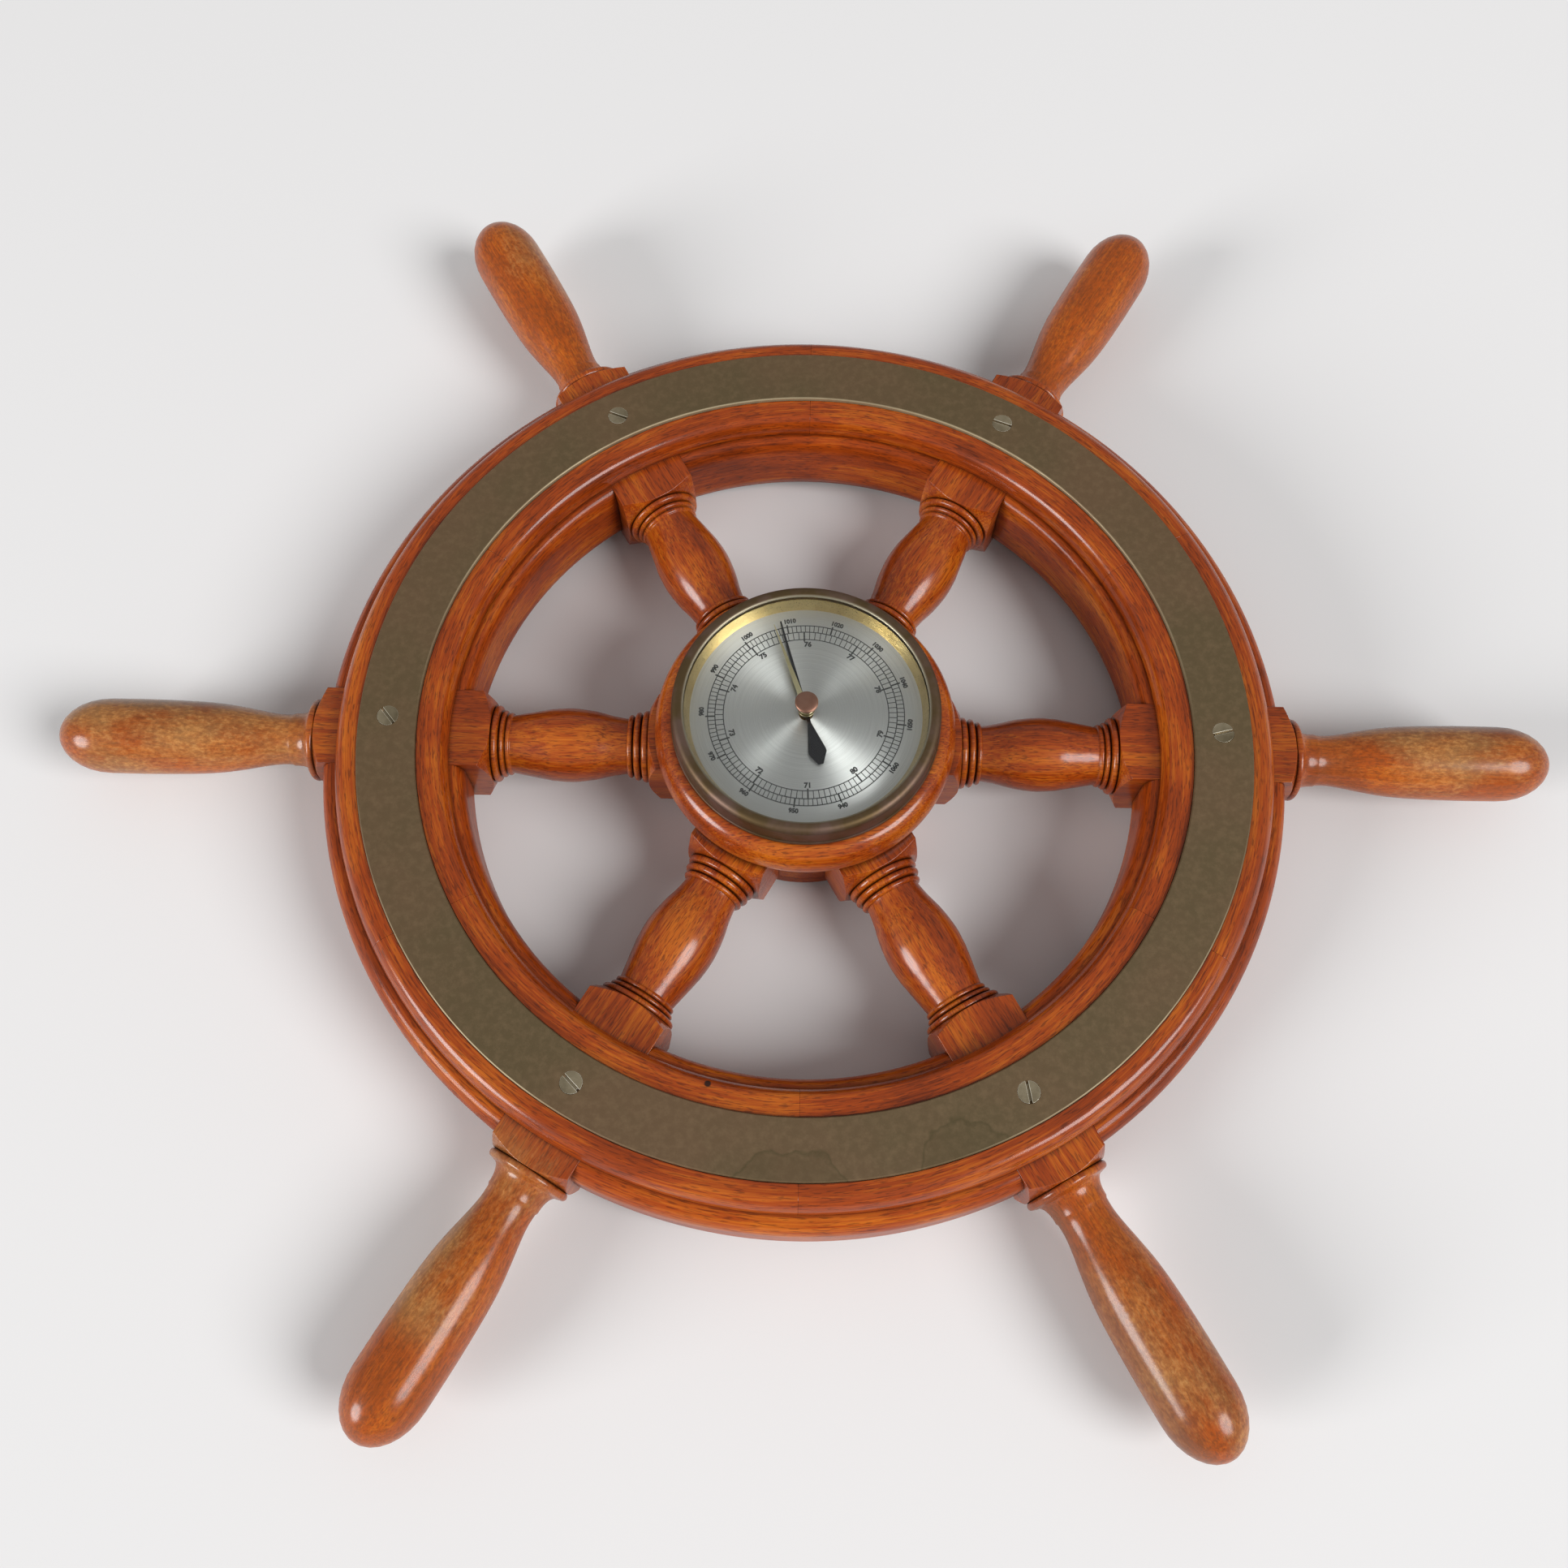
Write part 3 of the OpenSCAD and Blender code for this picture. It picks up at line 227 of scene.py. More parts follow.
def mahogany(name, turn, seed, tone=0.0, gloss=1.0, wear=None, bent=False, pin=None):
    # turn is the grain's direction in degrees about Z, and a bent board's grain follows the rim,
    # from a joint at turn + 90
    look = woodLook
    material, tree = newMaterial(name)
    place = addNode(tree, "ShaderNodeTexCoord").outputs["Object"]
    along = addNode(tree, "ShaderNodeMapping", {
        "Vector": place, "Rotation": (0, 0, -math.radians(turn))}).outputs[0]
    if bent:
        x, y, z = addNode(tree, "ShaderNodeSeparateXYZ", {0: along}).outputs
        arc = addNode(tree, "ShaderNodeMath", {0: x, 1: product(tree, y, -1.0)},
                      operation="ARCTAN2").outputs[0]
        along = addNode(tree, "ShaderNodeCombineXYZ", {
            0: product(tree, arc, look["rimRadius"]),
            1: product(tree, axisGap(tree, along), -1.0), 2: z}).outputs[0]
    board = addNode(tree, "ShaderNodeMapping", {
        "Vector": along,
        "Location": (seed * look["logStep"] % 1,
                     look["pithGap"][0] + look["pithStep"][0] * (seed % 5),
                     look["pithGap"][1] + look["pithStep"][1] * (seed % 4)),
        "Rotation": (0, 0, math.radians(look["lean"] * (seed % 3 - 1)))}).outputs[0]
    layers = {"rings": addNode(tree, "ShaderNodeTexWave", {
        "Vector": board, "Scale": 2 * math.pi / 20 / look["ringSpacing"],
        "Distortion": look["ringBend"], "Detail": look["ringBendDetail"],
        "Detail Scale": look["ringBendScale"], "Detail Roughness": look["layerRoughness"],
    }, wave_type="RINGS", rings_direction="X").outputs["Fac"]}
    for layer, (width, length, detail) in look["layers"].items():
        lane = addNode(tree, "ShaderNodeMapping", {
            "Vector": board, "Scale": (1 / length, 1 / width, 1 / width)}).outputs[0]
        layers[layer] = addNode(tree, "ShaderNodeTexNoise", {
            "Vector": lane, "Scale": 1.0, "Detail": detail,
            "Roughness": look["layerRoughness"]}).outputs["Fac"]
    grain = tone + 0.5 - sum(look["weights"].values()) / 2
    for layer, weight in look["weights"].items():
        grain = addNode(tree, "ShaderNodeMath", {0: layers[layer], 1: weight, 2: grain},
                        operation="MULTIPLY_ADD").outputs[0]
    colour = addNode(tree, "ShaderNodeValToRGB", {0: grain}, look["tones"]).outputs[0]
    poreMask = addNode(tree, "ShaderNodeValToRGB", {0: layers["pores"]},
                       look["poreMask"]).outputs[0]
    colour = addNode(tree, "ShaderNodeMix", {
        0: product(tree, poreMask, look["poreStrength"]), 6: colour, 7: look["pore"]},
        data_type="RGBA").outputs[2]
    roughness = addNode(tree, "ShaderNodeMapRange", {
        "Value": layers["fibre"], "To Min": look["roughness"][0],
        "To Max": look["roughness"][1]}).outputs[0]
    relief = addNode(tree, "ShaderNodeMath", {0: layers["fibre"], 1: poreMask},
                     operation="SUBTRACT").outputs[0]
    coat, coatRoughness = look["coat"] * gloss, look["coatRoughness"]
    if wear:
        colour, coat, flecks = wornGrip(tree, along, colour, wear, seed)
        coatRoughness = look["gripCoatRoughness"]
        relief = addNode(tree, "ShaderNodeMath", {0: relief, 1: flecks},
                         operation="ADD").outputs[0]
    if pin:
        # painted shade of the lost pin's hole
        holeShade = addNode(tree, "ShaderNodeMapRange", {
            "Value": axisGap(tree, place, *pin["place"]), "From Min": pin["edge"][0],
            "From Max": pin["edge"][1], "To Min": pin["strength"], "To Max": 0.0}).outputs[0]
        colour = addNode(tree, "ShaderNodeMix", {0: holeShade, 6: colour, 7: look["dirtAndShade"]},
                         data_type="RGBA").outputs[2]
    # painted shade in the quirks and along the joints, darker where ambient occlusion finds them
    # closed in; it also stands for old wax and dust
    shade = addNode(tree, "ShaderNodeAmbientOcclusion", {"Distance": look["shadeReach"]},
                    samples=look["shadeSamples"])
    dirtAndShade = addNode(tree, "ShaderNodeValToRGB", {0: shade.outputs["AO"]},
                   look["shadeMask"]).outputs[0]
    colour = addNode(tree, "ShaderNodeMix", {0: dirtAndShade, 6: colour, 7: look["dirtAndShade"]},
                     data_type="RGBA").outputs[2]
    bump = addNode(tree, "ShaderNodeBump", {
        "Strength": look["bump"], "Distance": look["bumpHeight"], "Height": relief}).outputs[0]
    shader = addNode(tree, "ShaderNodeBsdfPrincipled", {
        "Base Color": colour, "Roughness": roughness, "IOR": look["ior"],
        "Specular IOR Level": look["specular"], "Coat Weight": coat,
        "Coat Roughness": coatRoughness, "Coat IOR": look["ior"], "Normal": bump})
    addNode(tree, "ShaderNodeOutputMaterial", {0: shader.outputs[0]})
    return material


# Handles, where the varnish is dull and rubbed through: tan bare wood, grey where it took up dirt,
# and a grey brown band of painted shade along the side away from the lamps

gripLook = {
    "start": 148 * mm, "soft": 14 * mm, "axisHeight": 19.5 * mm, "radius": 11 * mm,
    "stretch": 0.6, "shift": (0.7, 0.3),    # of the patterns: along the handle, and by seed
    # (scale, detail, roughness): patches of 18 mm, flecks of 1.1 mm and smudges of 8 mm
    "patterns": {"patch": (55.0, 5.0, 0.62), "fleck": (1 / (1.1 * mm), 3.0, 0.65),
                 "smudge": (120.0, 4.0, 0.6)},
    # the level from which the wood is bare: what the side and the flecks count in it, its value
    # for no wear, how much wear takes off, and how far it is soft to each side
    "sideWeight": 0.20, "fleckWeight": 0.35, "from": 1.08, "reach": 0.55,
    "softEdge": (-0.16, 0.10), "strength": 0.8,
    "bare": "b17a40",
    # what lies on the bare wood: (pattern, mask, colour)
    "stains": [("fleck", [(0.36, 0.7), (0.58, 0.0)], "86623a"),
               ("smudge", [(0.40, 0.75), (0.60, 0.0)], "86623a"),
               ("patch", [(0.36, 0.6), (0.48, 0.0)], "6a3612"),
               ("fleck", [(0.52, 0.0), (0.66, 0.35)], "cf9a5e")],
    "warm": "c46a16", "warmth": 0.22, "speck": "6a3612", "speckMask": [(0.36, 0.5), (0.54, 0.0)],
    # painted shade, grey brown, along the handle's side away from the lamps: its colour, its mask,
    # and the gaps from the axis where it starts and where it is full
    "farSideShade": "5a4330", "farSideShadeMask": [(0.38, 0.75), (0.62, 0.35)],
    "farSideShadeFrom": 3 * mm, "farSideShadeTo": 10.5 * mm,
    "coat": 0.6, "fleckBump": 7.0,
}
# spoke: (amount, weight of the upper side, weight of the side along the rim, from, to, side that
# takes the painted shade), from and to in mm from the hub
gripWear = {
    1: (0.50, 0.4, 0.1, 170, 236, 1), 2: (0.26, 0.0, 0.5, 196, 240, 0),
    3: (0.36, 0.1, -0.5, 190, 240, 0), 4: (0.74, 0.1, -0.5, 156, 240, -1),
    5: (0.66, 0.2, -0.8, 150, 196, 0), 6: (0.52, 0.3, 0.2, 176, 236, -1),
}


def wornGrip(tree, along, colour, wear, seed):
    # gives the grip's colour, its coat and the relief of its flecks
    look = gripLook
    amount, up, side, first, last, shadedSide = wear
    x, y, z = addNode(tree, "ShaderNodeSeparateXYZ", {0: along}).outputs
    lane = addNode(tree, "ShaderNodeMapping", {
        "Vector": along, "Location": (seed * look["shift"][0], seed * look["shift"][1], 0),
        "Scale": (look["stretch"], 1, 1)}).outputs[0]
    patterns = {}
    for pattern, (scale, detail, rough) in look["patterns"].items():
        patterns[pattern] = addNode(tree, "ShaderNodeTexNoise", {
            "Vector": lane, "Scale": scale, "Detail": detail, "Roughness": rough}).outputs["Fac"]
    first, last, soft = first * mm, last * mm, look["soft"]
    grip, rise, fall = [addNode(tree, "ShaderNodeMapRange", {
        "Value": x, "From Min": low, "From Max": high, "To Min": begin, "To Max": 1.0 - begin},
        interpolation_type="SMOOTHSTEP").outputs[0] for low, high, begin in (
            (look["start"], look["start"] + soft, 0.0), (first - soft, first + soft, 0.0),
            (last, last + soft, 1.0))]
    lean = look["sideWeight"] / look["radius"]
    level = -look["axisHeight"] * up * lean
    for source, weight in ((z, up * lean), (y, side * lean),
                           (patterns["fleck"], look["fleckWeight"]), (patterns["patch"], 1.0)):
        level = addNode(tree, "ShaderNodeMath", {0: source, 1: weight, 2: level},
                        operation="MULTIPLY_ADD").outputs[0]
    edge = look["from"] - amount * look["reach"]
    wearAndGlint = addNode(tree, "ShaderNodeMapRange", {
        "Value": level, "From Min": edge + look["softEdge"][0],
        "From Max": edge + look["softEdge"][1]}).outputs[0]
    bare = look["bare"]
    for pattern, stops, tone in look["stains"]:
        mask = addNode(tree, "ShaderNodeValToRGB", {0: patterns[pattern]}, stops).outputs[0]
        bare = addNode(tree, "ShaderNodeMix", {0: mask, 6: bare, 7: tone},
                       data_type="RGBA").outputs[2]
    specks = addNode(tree, "ShaderNodeValToRGB", {0: patterns["fleck"]},
                     look["speckMask"]).outputs[0]
    coverings = [(product(tree, grip, look["warmth"]), look["warm"]),
                 (product(tree, specks, grip), look["speck"]),
                 (product(tree, rise, fall, wearAndGlint, look["strength"]), bare)]
    # painted shade in grey brown on the side away from the lamps
    if shadedSide:
        flank = addNode(tree, "ShaderNodeMapRange", {
            "Value": y, "From Min": look["farSideShadeFrom"] * shadedSide,
            "From Max": look["farSideShadeTo"] * shadedSide}).outputs[0]
        mask = addNode(tree, "ShaderNodeValToRGB", {0: patterns["patch"]},
                       look["farSideShadeMask"]).outputs[0]
        coverings.append((product(tree, flank, mask, grip), look["farSideShade"]))
    for mask, tone in coverings:
        colour = addNode(tree, "ShaderNodeMix", {0: mask, 6: colour, 7: tone},
                         data_type="RGBA").outputs[2]
    coat = addNode(tree, "ShaderNodeMapRange", {
        "Value": grip, "To Min": woodLook["coat"], "To Max": look["coat"]}).outputs[0]
    return colour, coat, product(tree, grip, look["fleckBump"], patterns["fleck"])


# each layer of the rim: (grain's turn, seed, tone, its step from board to board, repeat, gloss)
felloeLook = {"front": (240, 12, -0.02, 0.02, 3, 0.9), "middle": (210, 25, -0.01, 0.02, 2, 0.45),
              "back": (240, 33, -0.04, 0.02, 2, 0.3)}

for k in range(1, 7):
    wornCopy(f"spoke_{k}", mahogany(
        f"spoke_mahogany_{k}", 60 * (k - 1), seed=3 + k, tone=0.02, wear=gripWear[k]),
        rubbedEdge["spoke"])
    for layer, (turn, seed, tone, step, repeat, gloss) in felloeLook.items():
        pin = pinHole if layer == "front" and k == pinHole["felloe"] else None
        wornCopy(f"{layer}_felloe_{k}", mahogany(
            f"{layer}_mahogany_{k}", turn, seed, tone + step * (k % repeat), gloss, bent=True,
            pin=pin), rubbedEdge["felloe"])
for name, turn, seed, tone, gloss in (
        ("hub_cap", 8, 41, 0.08, 1.0), ("hub_core", 90, 43, -0.02, 0.3),
        ("hub_back", 20, 47, -0.04, 0.3)):
    wornCopy(name, mahogany(name + "_mahogany", turn, seed, tone, gloss), rubbedEdge["hub"])
print("wood done")


# Metals

# Rolled sheet brass with decades of brown oxide and polish residue: a dull olive brown, with a
# painted highlight along the edges where their bevels face the lamps

ringLook = {
    "brown": "6c553c", "olive": "625237", "oliveMask": [(0.40, 0.0), (0.62, 1.0)],
    "worn": "80694c", "wornMask": [(0.45, 0.0), (0.75, 0.35)],
    # edge is the colour of the painted highlight on the ring's edges, and its mask breaks that
    # highlight up
    "stain": "4c4226", "edge": "bfb08f", "edgeHighlightMask": [(0.36, 0.175), (0.56, 0.5)],
    # (scale, detail, roughness): clouds of 60 mm, grain of 2.4 mm and ripples of 8 mm
    "patterns": {"cloud": (16.0, 4.0, 0.6), "grain": (420.0, 3.0, 0.7),
                 "ripple": (130.0, 3.0, 0.5)},
    "metallic": 0.45, "roughness": (0.46, 0.60), "bump": 0.06, "bumpHeight": 0.1 * mm,
    # water marks: (x, y, radius) in mm from the wheel's middle, the ripple and the soft edge
    "marks": [(-2, -144, 17.5), (45.5, -130.5, 12.5)], "waver": 9 * mm, "soft": 2.2,
    "inside": 0.28, "dryLine": [(0.55, 0.0), (0.75, 0.6), (0.90, 0.0)], "dryReach": (-4, 1),
    # a painted highlight along an edge ends between the two gaps from it
    "innerEdge": 118.3 * mm, "outerEdge": 136 * mm, "edgeGaps": (0.33 * mm, 0.55 * mm),
    # the painted highlight lies on the inner edge at the top and on the outer edge at the lower
    # corners, whose bevels face the lamps
    "top": (0.0, 70 * mm), "bottom": (-20 * mm, -90 * mm), "corner": (45 * mm, 80 * mm),
}


def tarnishedBrass(name):
    look = ringLook
    material, tree = newMaterial(name)
    place = addNode(tree, "ShaderNodeTexCoord").outputs["Object"]
    cloud, grain, ripple = [addNode(tree, "ShaderNodeTexNoise", {
        "Vector": place, "Scale": scale, "Detail": detail, "Roughness": rough}).outputs
        for scale, detail, rough in look["patterns"].values()]
    colour = look["brown"]
    for pattern, mask, tone in ((cloud, "oliveMask", "olive"), (grain, "wornMask", "worn")):
        part = addNode(tree, "ShaderNodeValToRGB", {0: pattern["Fac"]}, look[mask]).outputs[0]
        colour = addNode(tree, "ShaderNodeMix", {0: part, 6: colour, 7: look[tone]},
                         data_type="RGBA").outputs[2]
    centred = addNode(tree, "ShaderNodeVectorMath", {0: ripple["Color"], 1: (0.5, 0.5, 0.5)},
                      operation="SUBTRACT").outputs[0]
    moved = addNode(tree, "ShaderNodeVectorMath", {
        0: centred, 1: (look["waver"], look["waver"], 0), 2: place},
        operation="MULTIPLY_ADD").outputs[0]
    for x, y, size in look["marks"]:
        gap = axisGap(tree, moved, x * mm, y * mm)
        inside = addNode(tree, "ShaderNodeMapRange", {
            "Value": gap, "From Min": (size - look["soft"]) * mm, "From Max": size * mm,
            "To Min": look["inside"], "To Max": 0.0}).outputs[0]
        across = addNode(tree, "ShaderNodeMapRange", {
            "Value": gap, "From Min": (size + look["dryReach"][0]) * mm,
            "From Max": (size + look["dryReach"][1]) * mm}).outputs[0]
        line = addNode(tree, "ShaderNodeValToRGB", {0: across}, look["dryLine"]).outputs[0]
        mark = addNode(tree, "ShaderNodeMath", {0: inside, 1: line}, operation="ADD",
                       use_clamp=True).outputs[0]
        colour = addNode(tree, "ShaderNodeMix", {0: mark, 6: colour, 7: look["stain"]},
                         data_type="RGBA").outputs[2]
    away = axisGap(tree, place)
    sideways, height = addNode(tree, "ShaderNodeSeparateXYZ", {0: place}).outputs[:2]
    aside = addNode(tree, "ShaderNodeMath", {0: sideways}, operation="ABSOLUTE").outputs[0]
    near, far = look["edgeGaps"]
    inner, outer, above, below, corner = [addNode(tree, "ShaderNodeMapRange", {
        "Value": value, "From Min": low, "From Max": high}).outputs[0] for value, low, high in (
            (away, look["innerEdge"] + far, look["innerEdge"] + near),
            (away, look["outerEdge"] - far, look["outerEdge"] - near),
            (height, *look["top"]), (height, *look["bottom"]), (aside, *look["corner"]))]
    # painted highlight on the edges that face the lamps, broken up by the clouds
    edge = addNode(tree, "ShaderNodeMath", {
        0: product(tree, inner, above), 1: product(tree, outer, below, corner)},
        operation="ADD").outputs[0]
    wearAndGlint = addNode(tree, "ShaderNodeValToRGB", {0: cloud["Fac"]}, look["edgeHighlightMask"]).outputs[0]
    colour = addNode(tree, "ShaderNodeMix", {
        0: product(tree, edge, wearAndGlint), 6: colour, 7: look["edge"]}, data_type="RGBA").outputs[2]
    roughness = addNode(tree, "ShaderNodeMapRange", {
        "Value": grain["Fac"], "From Min": noiseRange[0], "From Max": noiseRange[1],
        "To Min": look["roughness"][0], "To Max": look["roughness"][1]}).outputs[0]
    bump = addNode(tree, "ShaderNodeBump", {
        "Strength": look["bump"], "Distance": look["bumpHeight"],
        "Height": grain["Fac"]}).outputs[0]
    shader = addNode(tree, "ShaderNodeBsdfPrincipled", {
        "Base Color": colour, "Roughness": roughness, "Metallic": look["metallic"],
        "Normal": bump})
    addNode(tree, "ShaderNodeOutputMaterial", {0: shader.outputs[0]})
    return material


wornCopy("brass_ring", tarnishedBrass("tarnished_brass"), rubbedEdge["brass_ring"])

# Turned, drawn or sheet metal: fine grain, with soft spots of 11 mm in another tone

metalLook = {
    "grainDetail": 2.0, "spotScale": 90.0, "spotDetail": 3.0, "noiseRoughness": 0.6,
    "spotMask": [(0.42, 0.0), (0.68, 0.8)],
    # the least and the most roughness, as shares of the metal's own
    "smooth": 0.85, "rough": 1.2, "bumpHeight": 0.05 * mm,
}


def plainMetal(name, base, spot, roughness, grain=0.4 * mm, bump=0.05, metallic=1.0,
               stretch=(1, 1, 1)):
    # grain is the width of its finest marks, and stretch packs them along an axis
    look = metalLook
    material, tree = newMaterial(name)
    place = addNode(tree, "ShaderNodeTexCoord").outputs["Object"]
    lane = addNode(tree, "ShaderNodeMapping", {"Vector": place, "Scale": stretch}).outputs[0]
    fine = addNode(tree, "ShaderNodeTexNoise", {
        "Vector": lane, "Scale": 1 / grain, "Detail": look["grainDetail"],
        "Roughness": look["noiseRoughness"]}).outputs["Fac"]
    cloud = addNode(tree, "ShaderNodeTexNoise", {
        "Vector": place, "Scale": look["spotScale"], "Detail": look["spotDetail"],
        "Roughness": look["noiseRoughness"]}).outputs["Fac"]
    spots = addNode(tree, "ShaderNodeValToRGB", {0: cloud}, look["spotMask"]).outputs[0]
    colour = addNode(tree, "ShaderNodeMix", {0: spots, 6: base, 7: spot},
                     data_type="RGBA").outputs[2]
    rough = addNode(tree, "ShaderNodeMapRange", {
        "Value": fine, "From Min": noiseRange[0], "From Max": noiseRange[1],
        "To Min": roughness * look["smooth"], "To Max": roughness * look["rough"]}).outputs[0]
    facing = addNode(tree, "ShaderNodeBump", {
        "Strength": bump, "Distance": look["bumpHeight"], "Height": fine}).outputs[0]
    shader = addNode(tree, "ShaderNodeBsdfPrincipled", {
        "Base Color": colour, "Roughness": rough, "Metallic": metallic, "Normal": facing})
    addNode(tree, "ShaderNodeOutputMaterial", {0: shader.outputs[0]})
    return material


# Nickel plated steel screws, gone warm and dull; the rubbed edges of head and slot are painted near
# white, a painted glint over the bright worn metal
wornCopy("ring_screws",
         plainMetal("nickel_steel", "a89b80", "6c6048", 0.32, grain=0.9 * mm, bump=0.6,
                    metallic=0.8),
         rubbedEdge["ring_screws"],
         # painted glint on the rounded edges of head and slot
         plainMetal("rubbed_nickel_glint", "f2ecdb", "b8ae94", 0.35, grain=0.6 * mm, bump=0.4,
                    metallic=0.3))
# Zinc plated steel screws inside and behind: a plain pale grey
paint(["hub_screws", "hanger_screws", "base_screws", "movement_screws"],
      plainMetal("bright_steel", "b9b8b4", "8f8c86", 0.30))
# Stamped sheet brass, dull from the air, with the lines of the rolling
paint(["hanger_plate", "bridge_plate", "base_plate", "rocker_bracket", "adjusting_bar",
       "arbor_cock"],
      plainMetal("plate_brass", "b7965a", "8a6d3c", 0.36, grain=0.5 * mm, stretch=(1, 6, 1)))
# Spun brass case, brown in spots
paint(["case"], plainMetal("case_brass", "a5854e", "7d6135", 0.38))
# Turned steel of the train and its pillars, and drawn steel of hairspring and chain: bright grey
paint(["pointer_arbor", "rocker_arbor", "pillars", "adjusting_screw", "capsule_stud", "hairspring",
       "chain"], plainMetal("turned_steel", "c4c3c0", "98958f", 0.24, grain=0.2 * mm))
# Corrugated nickel silver capsule, pressed: pale, a little yellow
paint(["capsule"], plainMetal("capsule_metal", "c3bea9", "a29a7f", 0.30))

# Turned brass bezel under old lacquer: brown and rough outside, polished on the lip round the glass

bezelLook = {
    "brown": "5d4b31", "pink": "705a4e", "pinkMask": [(0.42, 0.0), (0.6, 1.0)],
    # (scale, detail, roughness): clouds of 17 mm and marks of 1.4 mm
    "patterns": {"cloud": (60.0, 4.0, 0.65), "marks": (700.0, 2.0, 0.5)},
    "lip": "958e7a", "lipEdge": 37.0 * mm, "lipSoft": 0.3 * mm,
    "roughness": 0.52, "lipRoughness": 0.42, "metallic": 0.8, "bump": 0.08,
    "bumpHeight": 0.1 * mm,
}


def bezelBrass(name):
    look = bezelLook
    material, tree = newMaterial(name)
    place = addNode(tree, "ShaderNodeTexCoord").outputs["Object"]
    cloud, marks = [addNode(tree, "ShaderNodeTexNoise", {
        "Vector": place, "Scale": scale, "Detail": detail, "Roughness": rough}).outputs["Fac"]
        for scale, detail, rough in look["patterns"].values()]
    lip = addNode(tree, "ShaderNodeMapRange", {
        "Value": axisGap(tree, place), "From Min": look["lipEdge"] - look["lipSoft"],
        "From Max": look["lipEdge"] + look["lipSoft"], "To Min": 1.0, "To Max": 0.0}).outputs[0]
    pink = addNode(tree, "ShaderNodeValToRGB", {0: cloud}, look["pinkMask"]).outputs[0]
    colour = look["brown"]
    for mask, tone in ((pink, "pink"), (lip, "lip")):
        colour = addNode(tree, "ShaderNodeMix", {0: mask, 6: colour, 7: look[tone]},
                         data_type="RGBA").outputs[2]
    rough = addNode(tree, "ShaderNodeMapRange", {
        "Value": lip, "To Min": look["roughness"], "To Max": look["lipRoughness"]}).outputs[0]
    bump = addNode(tree, "ShaderNodeBump", {
        "Strength": look["bump"], "Distance": look["bumpHeight"], "Height": marks}).outputs[0]
    shader = addNode(tree, "ShaderNodeBsdfPrincipled", {
        "Base Color": colour, "Roughness": rough, "Metallic": look["metallic"], "Normal": bump})
    addNode(tree, "ShaderNodeOutputMaterial", {0: shader.outputs[0]})
    return material


wornCopy("bezel", bezelBrass("bezel_brass"), rubbedEdge["bezel"])
# Gilt sheet, pressed and lacquered: soft gold
paint(["sloped_ring"],
      plainMetal("gilt_ring", "c8b077", "b39759", 0.30, grain=0.3 * mm, bump=0.03))
paint(["set_hand", "glass_bush"], plainMetal("gilt_brass", "cdc298", "b5a878", 0.34))
# Turned copper knob, tarnished pink brown
wornCopy("setting_knob", plainMetal("copper_knob", "a07a68", "7d5747", 0.42),
         rubbedEdge["setting_knob"])
# Heat blued steel pointer, nearly black
paint(["pointer"],
      plainMetal("blued_steel", "131318", "1b1a1c", 0.42, grain=0.3 * mm, bump=0.03))

# Silvered brass dial, brushed in circles while it turned: bright cones that point at the lamps

dialLook = {
    "silver": "dededc", "shadow": "cdcdcb", "shadowMask": [(0.35, 0.0), (0.65, 1.0)],
    "brush": 0.16 * mm, "sweep": 30,    # strokes of that width, which change 30 times in a metre
    "brushDetail": 2.0, "brushRoughness": 0.6,
    "roughness": (0.33, 0.43), "anisotropy": 0.9, "anisotropyTurn": 0.25,
    "lean": 0.07,    # the tool's grooves lean outward a little
}


def brushedDial(name):
    look = dialLook
    material, tree = newMaterial(name)
    place = addNode(tree, "ShaderNodeTexCoord").outputs["Object"]
    strokes = addNode(tree, "ShaderNodeCombineXYZ", {
        0: product(tree, axisGap(tree, place), 1 / look["brush"])}).outputs[0]
    lane = addNode(tree, "ShaderNodeVectorMath", {
        0: place, 1: (look["sweep"], look["sweep"], 0), 2: strokes},
        operation="MULTIPLY_ADD").outputs[0]
    brushing = addNode(tree, "ShaderNodeTexNoise", {
        "Vector": lane, "Scale": 1.0, "Detail": look["brushDetail"],
        "Roughness": look["brushRoughness"]}).outputs["Fac"]
    mask = addNode(tree, "ShaderNodeValToRGB", {0: brushing}, look["shadowMask"]).outputs[0]
    colour = addNode(tree, "ShaderNodeMix", {0: mask, 6: look["shadow"], 7: look["silver"]},
                     data_type="RGBA").outputs[2]
    rough = addNode(tree, "ShaderNodeMapRange", {
        "Value": brushing, "From Min": noiseRange[0], "From Max": noiseRange[1],
        "To Min": look["roughness"][0], "To Max": look["roughness"][1]}).outputs[0]
    around = addNode(tree, "ShaderNodeTangent", direction_type="RADIAL", axis="Z").outputs[0]
    # the face's normal with its lean, by way of the outward direction
    steps = (("MULTIPLY", (1, 1, 0)), ("NORMALIZE", (0, 0, 0)), ("MULTIPLY", (look["lean"],) * 3),
             ("ADD", addNode(tree, "ShaderNodeNewGeometry").outputs["Normal"]),
             ("NORMALIZE", (0, 0, 0)))
    facing = place
    for operation, other in steps:
        facing = addNode(tree, "ShaderNodeVectorMath", {0: facing, 1: other},
                         operation=operation).outputs[0]
    shader = addNode(tree, "ShaderNodeBsdfPrincipled", {
        "Base Color": colour, "Roughness": rough, "Metallic": 1.0,
        "Anisotropic": look["anisotropy"], "Anisotropic Rotation": look["anisotropyTurn"],
        "Tangent": around, "Normal": facing})
    addNode(tree, "ShaderNodeOutputMaterial", {0: shader.outputs[0]})
    return material


paint(["dial"], brushedDial("brushed_dial"))

# Clear window glass, ground flat: lamps shine through it on to the dial

glassLook = {"clear": "fbfdfc", "shadow": "f4f6f5", "ior": 1.5}


